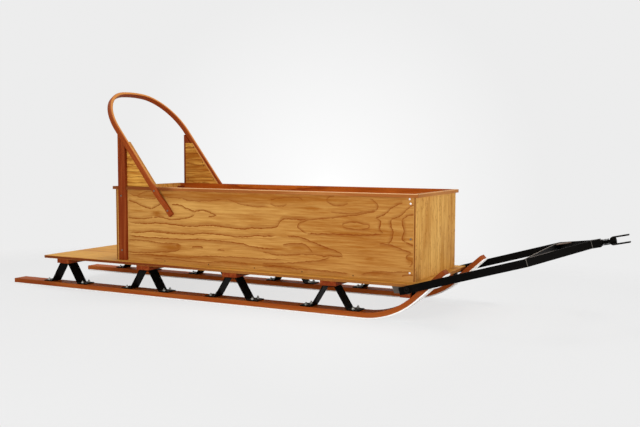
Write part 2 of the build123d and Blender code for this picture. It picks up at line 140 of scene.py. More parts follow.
class NodeMaker:
    """Adds nodes to one material or world."""

    def __init__(self, tree: bpy.types.NodeTree) -> None:
        """Start on a node tree."""
        self.tree = tree

    def node(self, kind: str, settings: dict | None = None, inputs: dict | None = None) -> bpy.types.Node:
        """Add one node, set it, then fill its sockets.

        Args:
            kind: the node's type.
            settings: attributes of the node; "stops" holds a ramp's (place, colour) pairs and "points" a
                curve's (place, height) pairs.
            inputs: values, links or Values by socket name or number.

        Returns:
            The node.
        """
        made = self.tree.nodes.new(kind)
        for name, setting in (settings or {}).items():
            if name == "stops":
                self._set_stops(made.color_ramp, setting)
            elif name == "points":
                self._set_points(made.mapping, setting)
            else:
                setattr(made, name, setting)
        for name, given in (inputs or {}).items():
            self.feed(made.inputs[name], given)
        return made

    def feed(self, socket: bpy.types.NodeSocket, given: "Value | bpy.types.NodeSocket | float | tuple") -> None:
        """Link a socket to what is given, or set it to a plain value."""
        source = given.socket if isinstance(given, Value) else given
        if isinstance(source, bpy.types.NodeSocket):
            self.tree.links.new(source, socket)
        else:
            socket.default_value = source

    @staticmethod
    def _set_stops(ramp: bpy.types.ColorRamp, stops: Sequence[tuple[float, Colour]]) -> None:
        """Give a colour ramp its stops, from left to right."""
        while len(ramp.elements) < len(stops):
            ramp.elements.new(1.0)
        for element, (place, colour) in zip(ramp.elements, stops):
            element.position = place
            element.color = (*colour, 1.0)

    @staticmethod
    def _set_points(mapping: bpy.types.CurveMapping, points: Sequence[tuple[float, float]]) -> None:
        """Give a curve its points, from left to right."""
        curve = mapping.curves[0]
        while len(curve.points) < len(points):
            curve.points.new(0.5, 0.5)
        for point, place in zip(curve.points, points):
            point.location = place
        mapping.update()

    def spread(self, source: Value, low: float, high: float, to_low: float = 0.0,
               to_high: float = 1.0) -> Value:
        """Map one range evenly onto another, without stopping at its ends."""
        inputs = {"Value": source, "From Min": low, "From Max": high, "To Min": to_low, "To Max": to_high}
        return self.value("ShaderNodeMapRange", {"clamp": False}, inputs)

    def value(self, kind: str, settings: dict | None = None, inputs: dict | None = None,
              output: int | str = 0) -> Value:
        """Add one node and wrap one of its outputs."""
        return Value(self, self.node(kind, settings, inputs).outputs[output])

    def mix(self, factor: Value, low: Colour | bpy.types.NodeSocket,
            high: Colour | bpy.types.NodeSocket, blend: str = "MIX") -> bpy.types.NodeSocket:
        """Blend two colours.

        Args:
            factor: 0 gives low and 1 gives high.
            low: the first colour, or a link to one.
            high: the second colour, or a link to one.
            blend: Blender's name of the blend.

        Returns:
            The link to the blended colour.
        """
        def filled(colour: Colour | bpy.types.NodeSocket) -> tuple | bpy.types.NodeSocket:
            """Give a plain colour its alpha."""
            return colour if isinstance(colour, bpy.types.NodeSocket) else (*colour, 1.0)

        settings = {"data_type": "RGBA", "blend_type": blend}
        inputs = {"Factor": factor, 6: filled(low), 7: filled(high)}
        return self.node("ShaderNodeMix", settings, inputs).outputs[2]

    def noise(self, place: Sequence[Value | float], scale: float = 1.0, detail: float = 2.0,
              roughness: float = 0.5) -> Value:
        """Smooth noise between 0 and 1, read at a place already stretched to suit."""
        vector = self.node("ShaderNodeCombineXYZ", None, dict(enumerate(place))).outputs[0]
        settings = {"noise_dimensions": "3D"}
        inputs = {"Vector": vector, "Scale": scale, "Detail": detail, "Roughness": roughness}
        return self.value("ShaderNodeTexNoise", settings, inputs, "Fac")

    def position(self) -> tuple[Value, Value, Value]:
        """X, Y and Z of the surface, in metres."""
        coordinates = self.node("ShaderNodeTexCoord")
        split = self.node("ShaderNodeSeparateXYZ", None, {0: coordinates.outputs["Object"]})
        return tuple(Value(self, split.outputs[index]) for index in range(3))

    def towards(self, axis: str) -> Value:
        """How squarely the surface faces along an axis: 1 along it, -1 against it."""
        coordinates = self.node("ShaderNodeTexCoord")
        split = self.node("ShaderNodeSeparateXYZ", None, {0: coordinates.outputs["Normal"]})
        return Value(self, split.outputs["XYZ".index(axis)])

    def facing(self, axis: str) -> Value:
        """How squarely the surface faces an axis either way, from 0 to 1."""
        return abs(self.towards(axis))

    def bump(self, height: Value, distance: float, strength: float = 1.0) -> bpy.types.NodeSocket:
        """Turn a height from 0 to 1 into a surface normal."""
        inputs = {"Height": height, "Distance": distance, "Strength": strength}
        return self.node("ShaderNodeBump", None, inputs).outputs[0]


class MaterialMaker(NodeMaker):
    """Adds nodes to a new material and fills its Principled shader."""

    def __init__(self, name: str) -> None:
        """Make an empty material with this name."""
        self.material = bpy.data.materials.new(name)
        self.material.use_nodes = True
        super().__init__(self.material.node_tree)
        self.shader = self.tree.nodes["Principled BSDF"]

    def fill(self, **inputs: "Value | bpy.types.NodeSocket | float | tuple") -> bpy.types.Material:
        """Set the shader's sockets.

        Args:
            inputs: values or links by socket name, with underscores for spaces.

        Returns:
            The finished material.
        """
        for name, given in inputs.items():
            self.feed(self.shader.inputs[name.replace("_", " ")], given)
        return self.material


# ---------------------------------------------------------------- finishes
# room above and below a growth line's curve, and how far it wanders sideways and in height, in millimetres
LINE_MARGIN = 12.0
LINE_SWAY = 16.0
LINE_JAG = 13.0
# half widths between which a growth line fades, in millimetres
LINE_FADE = (1.0, 4.4)
# how strongly varnished wood mirrors
VARNISH_SPECULAR = 0.06
# painted shade and warm bounce light on the inside of the box, and how dark late wood makes each part of a ring
INSIDE_SHADE = (0.96, 0.40, 0.09)
LATE_WOOD = ((0.0, (0.02,) * 3), (0.5, (0.0,) * 3), (0.8, (0.2,) * 3), (0.9, (0.75,) * 3),
             (0.95, (0.95,) * 3), (1.0, (0.05,) * 3))
# thickness of two thin plies, half widths between which a core ply fades, both in metres, and the share of
# the edge colour that the darker plies keep
PLY_PAIR = 0.0028
CORE_FADE = (0.0016, 0.0034)
DARK_PLY = (0.26, 0.16, 0.1)
# colour of the painted highlight on the rounded edges of stained wood, and of the pivots' heads
EDGE_HIGHLIGHT = (0.88, 0.56, 0.26)
PIVOT_BLACK = (0.006, 0.005, 0.004)


@dataclass(frozen=True)
class GrowthLine:
    """One growth line in the figure of a veneer, as a curve through given points.

    Attributes:
        points: (along, up) places on the panel in millimetres, from its rear lower corner.
        strength: how dark the line is.
        shade: how far its brown shading spreads, in millimetres; upwards or forwards when positive.
        upright: the line runs up the panel, so its points are in order of height.
    """

    points: tuple[tuple[float, float], ...]
    strength: float = 0.9
    shade: float = 20.0
    upright: bool = False

    def mask(self, maker: NodeMaker, along: Value, up: Value) -> Value:
        """How much of the line covers a place, from 0 to 1."""
        run, rise = (up, along) if self.upright else (along, up)
        pairs = [(high, low) for low, high in self.points] if self.upright else list(self.points)
        first, last = pairs[0][0], pairs[-1][0]
        low = min(value for _, value in pairs) - LINE_MARGIN
        high = max(value for _, value in pairs) + LINE_MARGIN
        knots = [((place - first) / (last - first), (value - low) / (high - low)) for place, value in pairs]
        share = maker.spread(run, first, last)
        curve = maker.value("ShaderNodeFloatCurve", {"points": knots}, {"Value": share})
        gap = rise - maker.spread(curve, 0.0, 1.0, low, high)
        core = 1.0 - abs(gap).step(*LINE_FADE)
        side = gap * math.copysign(1.0, self.shade)
        soft = side.step(-1.0, 1.0) - side.step(0.0, abs(self.shade))
        ends = share.step(-0.01, 0.05) - share.step(0.95, 1.01)
        return core.math("MAXIMUM", soft * 0.5) * ends * self.strength


@dataclass(frozen=True)
class Patch:
    """A brown patch in the figure of a veneer.

    Attributes:
        along: its middle, in millimetres from the panel's rear end.
        up: its middle, in millimetres from the panel's lower edge.
        length: its reach along the panel.
        height: its reach up the panel.
        strength: how dark it is.
    """

    along: float
    up: float
    length: float
    height: float
    strength: float

    def mask(self, along: Value, up: Value) -> Value:
        """How much of the patch covers a place, from 0 to 1."""
        far = ((along - self.along) / self.length) ** 2.0 + ((up - self.up) / self.height) ** 2.0
        return (far * -1.0).math("EXPONENT") * self.strength


@dataclass(frozen=True)
class DrawnFigure:
    """The figure of one panel, as growth lines and patches in given places.

    Attributes:
        rear: X of the panel's rear end, in metres.
        floor: height of the panel's lower edge, in metres.
        lines: its growth lines.
        patches: its brown patches.
    """

    rear: float
    floor: float
    lines: tuple[GrowthLine, ...]
    patches: tuple[Patch, ...]

    def paint(self, maker: NodeMaker, along: Value, across: Value, layer: Value) -> tuple[Value, Value]:
        """Lay the lines and patches.

        Args:
            maker: makes the nodes.
            along: distance along the grain, in metres.
            across: distance across the grain, in metres.
            layer: depth through the veneers.

        Returns:
            How dark the lines are and how brown the patches are, from 0 to 1.
        """
        jag = maker.noise((along * 34.0, across * 60.0, layer), detail=2.0, roughness=0.6) - 0.5
        sway = maker.noise((along * 60.0, across * 34.0, layer + 5.0), detail=2.0, roughness=0.6) - 0.5
        along_mm = (along - self.rear) * 1000.0 + sway * LINE_SWAY
        up_mm = (across - self.floor) * 1000.0 + jag * LINE_JAG
        lines = self.lines[0].mask(maker, along_mm, up_mm)
        for line in self.lines[1:]:
            lines = lines.math("MAXIMUM", line.mask(maker, along_mm, up_mm))
        patches = self.patches[0].mask(along_mm, up_mm)
        for patch in self.patches[1:]:
            patches = patches.math("MAXIMUM", patch.mask(along_mm, up_mm))
        return lines, patches


@dataclass(frozen=True)
class Plywood:
    """Varnished softwood plywood with a bold figure of growth rings.

    Attributes:
        name: the material's name.
        grain: which way the grain runs.
        pale: colour of the early wood.
        deep: colour of the broad brown bands.
        line: colour of the thin late-wood lines.
        edge: colour of the sawn edges.
        front_edge: colour that the edges change to towards the front, if they do.
        rings: growth rings per metre across the grain.
        waver: how many rings the figure wanders by.
        ripple: how many rings its small waves shift it by.
        seed: moves the figure to another place in the tree.
        stretch: how much longer the figure is along the grain than across it.
        boldness: how strong the rings are.
        inside: half width of the box inside which the board is painted darker and redder, as shade and bounce
        light, or 0.
        streaks: how strongly brown streaks run through it.
        core: place of the dark middle ply, across the board's thickness, or None where thin plies show.
        figure: growth lines and patches in given places, used instead of the rings.
    """

    name: str
    grain: Grain
    pale: Colour
    deep: Colour
    line: Colour
    edge: Colour
    front_edge: Colour | None = None
    rings: float = 9.0
    waver: float = 5.0
    ripple: float = 0.34
    seed: float = 0.0
    stretch: float = 5.0
    boldness: float = 0.85
    inside: float = 0.0
    streaks: float = 1.5
    core: float | None = None
    figure: DrawnFigure | None = None

    def make(self) -> bpy.types.Material:
        """Build the material."""
        maker = MaterialMaker(self.name)
        place = dict(zip("XYZ", maker.position()))
        along, across, depth = (place[axis] for axis in self.grain.value)
        layer = depth * 6.0 + self.seed
        band = maker.noise((along * 1.5, across * 6.0, layer + 7.0), detail=3.0, roughness=0.6).step(0.4, 0.8)
        if self.figure:
            line, patches = self.figure.paint(maker, along, across, layer)
            line = line.math("MAXIMUM", self._rings(maker, along, across, layer) * 0.34)
            band = band * 0.3 + patches * 0.9
        else:
            line = self._rings(maker, along, across, layer)
            band = band * 0.6
        streak = maker.noise((along * 5.0, across * 85.0, layer * 3.0), detail=3.0, roughness=0.6)
        fibre = maker.noise((along * 14.0, across * 300.0, layer * 3.0), detail=2.0)
        fleck = maker.noise((along * 55.0, across * 700.0, layer * 5.0), detail=1.0).step(0.62, 0.8)
        brown = (band + (streak - 0.42) * self.streaks + (fibre - 0.4) * 0.7).math("MAXIMUM", 0.0)
        colour = maker.mix(brown.math("MINIMUM", 1.0), self.pale, self.deep)
        colour = maker.mix(line, colour, self.line)
        colour = maker.mix(fleck * 0.2, colour, self.line)
        colour = maker.mix(1.0 - maker.facing(self.grain.value[2]).step(0.4, 0.6), colour,
                           self._edge(maker, place[self.grain.value[2]], along, across))
        # painted shade: faces inside the box are multiplied darker and redder, as shade and light bounced off the
        # orange walls
        if self.inside:
            inside_shade = 1.0 - abs(depth).step(self.inside - 0.001, self.inside + 0.001)
            colour = maker.mix(inside_shade * 0.9, colour, INSIDE_SHADE, "MULTIPLY")
        height = fibre * 0.5 + (1.0 - line) * 0.5
        return maker.fill(
            Base_Color=colour, Roughness=0.5 + fibre * 0.12, Specular_IOR_Level=VARNISH_SPECULAR,
            Coat_Weight=0.01, Coat_Roughness=0.2, Normal=maker.bump(height, 0.0001, 0.2))

    def _rings(self, maker: MaterialMaker, along: Value, across: Value, layer: Value) -> Value:
        """Late-wood lines of growth rings that wander by themselves."""
        figure = across * self.rings
        swell = maker.noise((along * (2.6 / self.stretch), across * 2.6, layer), detail=1.0)
        figure = figure + (swell - 0.5) * self.waver
        small = maker.noise((along * (45.0 / self.stretch), across * 26.0, layer), detail=3.0, roughness=0.55)
        figure = figure + (small - 0.5) * self.ripple
        ring = figure.math("FRACT")
        line = Value(maker, maker.node("ShaderNodeValToRGB", {"stops": LATE_WOOD}, {0: ring}).outputs[0])
        fade = maker.noise((along * 2.3, across * 5.0, layer + 3.0), detail=2.0)
        return line * (fade.step(0.28, 0.62) * 0.7 + 0.3) * self.boldness

    def _edge(self, maker: MaterialMaker, depth: Value, along: Value, across: Value) -> bpy.types.NodeSocket:
        """Colour of the sawn edges, in thin plies of end grain and long grain."""
        if self.core is None:
            ply = (depth / PLY_PAIR).math("FRACT").step(0.35, 0.65) * 0.5
        else:
            ply = 1.0 - abs(depth - self.core).step(*CORE_FADE)
        speck = maker.noise((along * 90.0, across * 90.0, depth * 700.0), detail=2.0)
        dark = tuple(part * share for part, share in zip(self.edge, DARK_PLY))
        ground = self.edge
        if self.front_edge:
            ground = maker.mix(along.step(-0.62, -0.2), self.edge, self.front_edge)
        return maker.mix(ply + (speck - 0.5) * 0.7, ground, dark)


@dataclass(frozen=True)
class Bend:
    """A straight bar that turns into an arc and runs straight again, seen from the side.

    Attributes:
        start: where the arc starts along X.
        radius: radius of the arc at ground level.
        sweep: angle of the arc, in degrees.
    """

    start: float
    radius: float
    sweep: float

    def follow(self, x: Value, z: Value) -> tuple[Value, Value]:
        """Distance along the bar and height within it.

        Args:
            x: place along the sled.
            z: height above the ground.

        Returns:
            The distance along the bent bar and the height above its underside.
        """
        turn = math.radians(self.sweep)
        forward = x - self.start
        drop = z * -1.0 + self.radius
        angle = forward.math("ARCTAN2", drop)
        reach = (forward * forward + drop * drop).math("SQRT")
        in_arc = (forward.math("GREATER_THAN", 0.0)) * (angle.math("LESS_THAN", turn))
        past = angle.math("GREATER_THAN", turn) * forward.math("GREATER_THAN", 0.0)
        straight_along = forward * math.cos(turn) + (z - self.radius) * math.sin(turn)
        straight_height = (z - self.radius) * math.cos(turn) - forward * math.sin(turn) + self.radius
        arc_height = reach * -1.0 + self.radius
        flat = 1.0 - in_arc - past
        along = flat * forward + in_arc * (angle * self.radius) + past * (straight_along + self.radius * turn)
        height = flat * z + in_arc * arc_height + past * straight_height
        return along, height


@dataclass(frozen=True)
class StainedWood:
    """Hardwood stained red-brown and varnished.

    Attributes:
        name: the material's name.
        grain: which way the grain runs.
        base: colour of the wood.
        pale: colour of its light streaks.
        dark: colour of its pores and dark streaks.
        bend: the curve that the grain follows, if it is bent.
        gloss: weight of the varnish.
        wear_and_highlight: how strongly the rounded upper edges are painted pale, as a highlight where light
            catches them.
        highlight_from: X from which the painted highlight shows; behind it the wood is painted darker, as
            shade.
        lit_colour: colour painted on the faces that look up, forward and to the left, as light falling on
            them, if given.
        lit_from: height below which that painted light and its highlight are left off, as shade from the box.
        toe: how much darker the stain is past the bend.
        seed: moves the streaks.
    """

    name: str
    grain: Grain
    base: Colour = (0.205, 0.030, 0.005)
    pale: Colour = (0.38, 0.095, 0.02)
    dark: Colour = (0.10, 0.012, 0.003)
    bend: Bend | None = None
    gloss: float = 0.01
    wear_and_highlight: float = 0.0
    highlight_from: float = -9.0
    lit_colour: Colour | None = None
    lit_from: float = 0.0
    toe: float = 0.0
    seed: float = 0.0

    def make(self) -> bpy.types.Material:
        """Build the material."""
        maker = MaterialMaker(self.name)
        place = dict(zip("XYZ", maker.position()))
        if self.bend:
            place["X"], place["Z"] = self.bend.follow(place["X"], place["Z"])
        along, across, depth = (place[axis] for axis in self.grain.value)
        return self.dress(maker, along, across + self.seed, depth)

    def dress(self, maker: MaterialMaker, along: Value, across: Value, depth: Value) -> bpy.types.Material:
        """Fill the shader from the wood's own directions.

        Args:
            maker: makes the nodes.
            along: distance along the grain.
            across: distance across the grain.
            depth: distance through the board.

        Returns:
            The finished material.
        """
        streak = maker.noise((along * 3.0, across * 55.0, depth * 55.0), detail=3.0, roughness=0.55)
        pore = maker.noise((along * 40.0, across * 900.0, depth * 900.0), detail=2.0)
        cloud = maker.noise((along * 1.2, across * 7.0, depth * 7.0), detail=2.0)
        colour = maker.mix(streak.step(0.42, 0.72) * 0.6, self.base, self.pale)
        colour = maker.mix(cloud.step(0.5, 0.8) * 0.45, colour, self.dark)
        colour = maker.mix(pore.step(0.55, 0.78) * 0.3, colour, self.dark)
        if self.toe:
            colour = maker.mix(along.step(0.2, 0.42) * self.toe, colour, self.dark)
        upward = maker.towards("Z")
        # painted light: above the given height, faces that look up, forward and to the left are painted lighter,
        # and the most lit take the painted highlight; below it they stay dark, as shade from the box
        if self.lit_colour:
            high = maker.position()[2].step(self.lit_from, self.lit_from + 0.04)
            lit = maker.towards("X") * 0.6 + maker.towards("Y") * 0.5 + upward * 0.62
            colour = maker.mix(lit.step(0.62, 0.96) * (0.7 + streak * 0.4) * high, colour, self.lit_colour)
            highlight_mask = lit.step(0.9, 0.99) * high
        else:
            # painted highlight: the rounded edges between the top and the sides are painted pale, where light
            # catches them
            highlight_mask = upward.step(0.2, 0.5) - upward.step(0.93, 0.99)
        # painted shade: behind the X where the highlight starts, the wood is painted darker and keeps no
        # highlight
        if self.wear_and_highlight:
            unshaded = maker.position()[0].step(self.highlight_from, self.highlight_from + 0.1)
            colour = maker.mix((1.0 - unshaded) * 0.62, colour, self.dark)
            colour = maker.mix(highlight_mask * self.wear_and_highlight * unshaded, colour, EDGE_HIGHLIGHT)
        return maker.fill(
            Base_Color=colour, Roughness=0.5 + streak * 0.12, Specular_IOR_Level=VARNISH_SPECULAR,
            Coat_Weight=self.gloss, Coat_Roughness=0.18, Normal=maker.bump(streak, 0.0001, 0.15))


@dataclass(frozen=True)
class BentBarWood(StainedWood):
    """Stained wood whose grain follows the hoop of the handlebar.

    Attributes:
        foot: X of the bar's front face at the top of the box.
        top: height of the top of the box.
        slope: lean of the bar from the ground, in degrees.
        leg: length of the straight legs above the box.
        half: half width between the legs.
        corner: radius of the two upper corners at the inner face.
        crown: radius of the crown at the inner face.
    """

    foot: float = 0.0
    top: float = 0.0
    slope: float = 52.8
    leg: float = 0.42
    half: float = 0.3175
    corner: float = 0.2575
    crown: float = 0.8055

    def make(self) -> bpy.types.Material:
        """Build the material."""
        maker = MaterialMaker(self.name)
        x, y, z = maker.position()
        lean = math.radians(self.slope)
        rise = (x - self.foot) * -math.cos(lean) + (z - self.top) * math.sin(lean)
        depth = (x - self.foot) * math.sin(lean) + (z - self.top) * math.cos(lean)
        side = abs(y)
        corner_x = self.half - self.corner
        gap = self.crown - self.corner
        crown_y = self.leg - math.sqrt(gap ** 2 - corner_x ** 2)
        turn = math.atan2(self.leg - crown_y, corner_x)
        over = rise - self.leg
        out = side - corner_x
        corner_reach = (out * out + over * over).math("SQRT")
        corner_angle = over.math("ARCTAN2", out)
        above = rise - crown_y
        crown_reach = (side * side + above * above).math("SQRT")
        crown_angle = above.math("ARCTAN2", side)
        on_leg = over.math("LESS_THAN", 0.0)
        on_crown = (1.0 - on_leg) * corner_angle.math("GREATER_THAN", turn)
        on_corner = 1.0 - on_leg - on_crown
        across = (on_leg * (side - self.half) + on_corner * (corner_reach - self.corner)
                  + on_crown * (crown_reach - self.crown))
        corner_end = self.corner * turn
        along = (on_leg * over + on_corner * (corner_angle * self.corner)
                 + on_crown * ((crown_angle - turn) * self.crown + corner_end))
        return self.dress(maker, along, across + 2.0, depth)


@dataclass(frozen=True)
class Steel:
    """Steel, painted or plated.

    Attributes:
        name: the material's name.
        colour: colour of the paint or plating.
        wear_and_highlight: colour where it is worn, and of the painted highlight on faces that look up.
        metal: how metallic it is.
        rough: roughness.
        wear: how far that colour spreads as wear.
        top_highlight: how much of that colour is painted on faces that look up, as a highlight where light falls.
        sheen: how strongly it mirrors.
        outer: distance from the middle beyond which it is plain black, or 0.
    """

    name: str
    colour: Colour
    wear_and_highlight: Colour
    metal: float
    rough: float
    wear: float = 0.25
    top_highlight: float = 0.0
    sheen: float = 0.5
    outer: float = 0.0

    def make(self) -> bpy.types.Material:
        """Build the material."""
        maker = MaterialMaker(self.name)
        x, y, z = maker.position()
        mottle = maker.noise((x, y, z), scale=38.0, detail=4.0, roughness=0.6)
        grit = maker.noise((x, y, z), scale=300.0, detail=2.0)
        colour = maker.mix(mottle.step(0.5, 0.8) * self.wear, self.colour, self.wear_and_highlight)
        # painted highlight: faces that look up are painted paler, as if lit from above
        colour = maker.mix(maker.towards("Z").step(0.55, 0.95) * self.top_highlight, colour, self.wear_and_highlight)
        if self.outer:
            colour = maker.mix(abs(y).step(self.outer, self.outer + 0.0003), colour, PIVOT_BLACK)
        return maker.fill(
            Base_Color=colour, Metallic=self.metal, Roughness=self.rough + (mottle - 0.5) * 0.16,
            Specular_IOR_Level=self.sheen, Normal=maker.bump(grit, 0.00008, 0.3))


@dataclass(frozen=True)
class SlickPlastic:
    """White low-friction plastic, scuffed along its length.

    Attributes:
        name: the material's name.
        colour: colour of the plastic.
        scuff: colour of its scratches.
        bend: the curve that the scratches follow.
    """

    name: str
    colour: Colour
    scuff: Colour
    bend: Bend

    def make(self) -> bpy.types.Material:
        """Build the material."""
        maker = MaterialMaker(self.name)
        x, y, z = maker.position()
        along, height = self.bend.follow(x, z)
        scratch = maker.noise((along * 4.0, y * 260.0, height * 260.0), detail=3.0)
        colour = maker.mix(scratch.step(0.55, 0.8) * 0.3, self.colour, self.scuff)
        return maker.fill(
            Base_Color=colour, Roughness=0.4 + scratch * 0.15, Specular_IOR_Level=0.4,
            Normal=maker.bump(scratch, 0.0001, 0.4))


# ---------------------------------------------------------------- modelling by hand
class Bench:
    """Runs Blender's own modelling operators on one piece at a time."""

    @staticmethod
    def clear() -> None:
        """Leave object mode with nothing selected."""
        if bpy.context.object and bpy.context.object.mode != "OBJECT":
            bpy.ops.object.mode_set(mode="OBJECT")
        bpy.ops.object.select_all(action="DESELECT")

    @staticmethod
    def name(name: str) -> bpy.types.Object:
        """Name the piece just added, and return it."""
        piece = bpy.context.object
        piece.name = name
        piece.data.name = name
        return piece

    @staticmethod
    def pick(piece: bpy.types.Object, kind: str, test) -> None:
        """Select only the faces, edges or points that pass a test.

        Args:
            piece: the mesh, in edit mode.
            kind: "faces", "edges" or "verts".
            test: is given each element and says whether it is wanted.
        """
        mode = {"faces": "FACE", "edges": "EDGE", "verts": "VERT"}[kind]
        bpy.ops.mesh.select_mode(type=mode)
        bpy.ops.mesh.select_all(action="DESELECT")
        shape = bmesh.from_edit_mesh(piece.data)
        for element in getattr(shape, kind):
            if test(element):
                element.select_set(True)
        shape.select_flush_mode()
        bmesh.update_edit_mesh(piece.data)

    @staticmethod
    def modify(piece: bpy.types.Object, kind: str, **settings: object) -> None:
        """Add a modifier, set it and apply it."""
        modifier = piece.modifiers.new(kind.title(), kind)
        for name, setting in settings.items():
            setattr(modifier, name, setting)
        bpy.context.view_layer.objects.active = piece
        bpy.ops.object.modifier_apply(modifier=modifier.name)

    @staticmethod
    def smooth(piece: bpy.types.Object, angle: float = 35.0) -> None:
        """Shade a piece smooth except across sharp edges."""
        Bench.clear()
        piece.select_set(True)
        bpy.context.view_layer.objects.active = piece
        bpy.ops.object.shade_smooth_by_angle(angle=math.radians(angle))

    @staticmethod
    def join(pieces: Sequence[bpy.types.Object], name: str) -> bpy.types.Object:
        """Join pieces into one object at the origin."""
        Bench.clear()
        for piece in pieces:
            piece.select_set(True)
        bpy.context.view_layer.objects.active = pieces[0]
        if len(pieces) > 1:
            bpy.ops.object.join()
        bpy.ops.object.transform_apply(location=True, rotation=True, scale=True)
        return Bench.name(name)


def turn_to(direction: Sequence[float], twist: float = 0.0) -> Matrix:
    """Rotation that turns +Z to a direction after a twist about it, in degrees."""
    aim = Vector(direction).to_track_quat("Z", "Y").to_matrix().to_4x4()
    return aim @ Matrix.Rotation(math.radians(twist), 4, "Z")


@dataclass
class Fastener:
    """One kind of screw, bolt or nut, modelled once pointing up and copied into place.

    Attributes:
        pattern: the model, removed once every copy is made.
        material: its finish.
    """

    pattern: bpy.types.Object
    material: bpy.types.Material

    def copies(self, places: Iterable[tuple[Point, Point, float]]) -> list[bpy.types.Object]:
        """Copy the fastener to each place.

        Args:
            places: for each copy, the point it sits on, the way it faces and its twist in degrees.

        Returns:
            The copies, each with its own mesh.
        """
        made = []
        for point, direction, twist in places:
            copy = self.pattern.copy()
            copy.data = self.pattern.data.copy()
            copy.data.transform(Matrix.Translation(point) @ turn_to(direction, twist))
            bpy.context.scene.collection.objects.link(copy)
            made.append(copy)
        return made


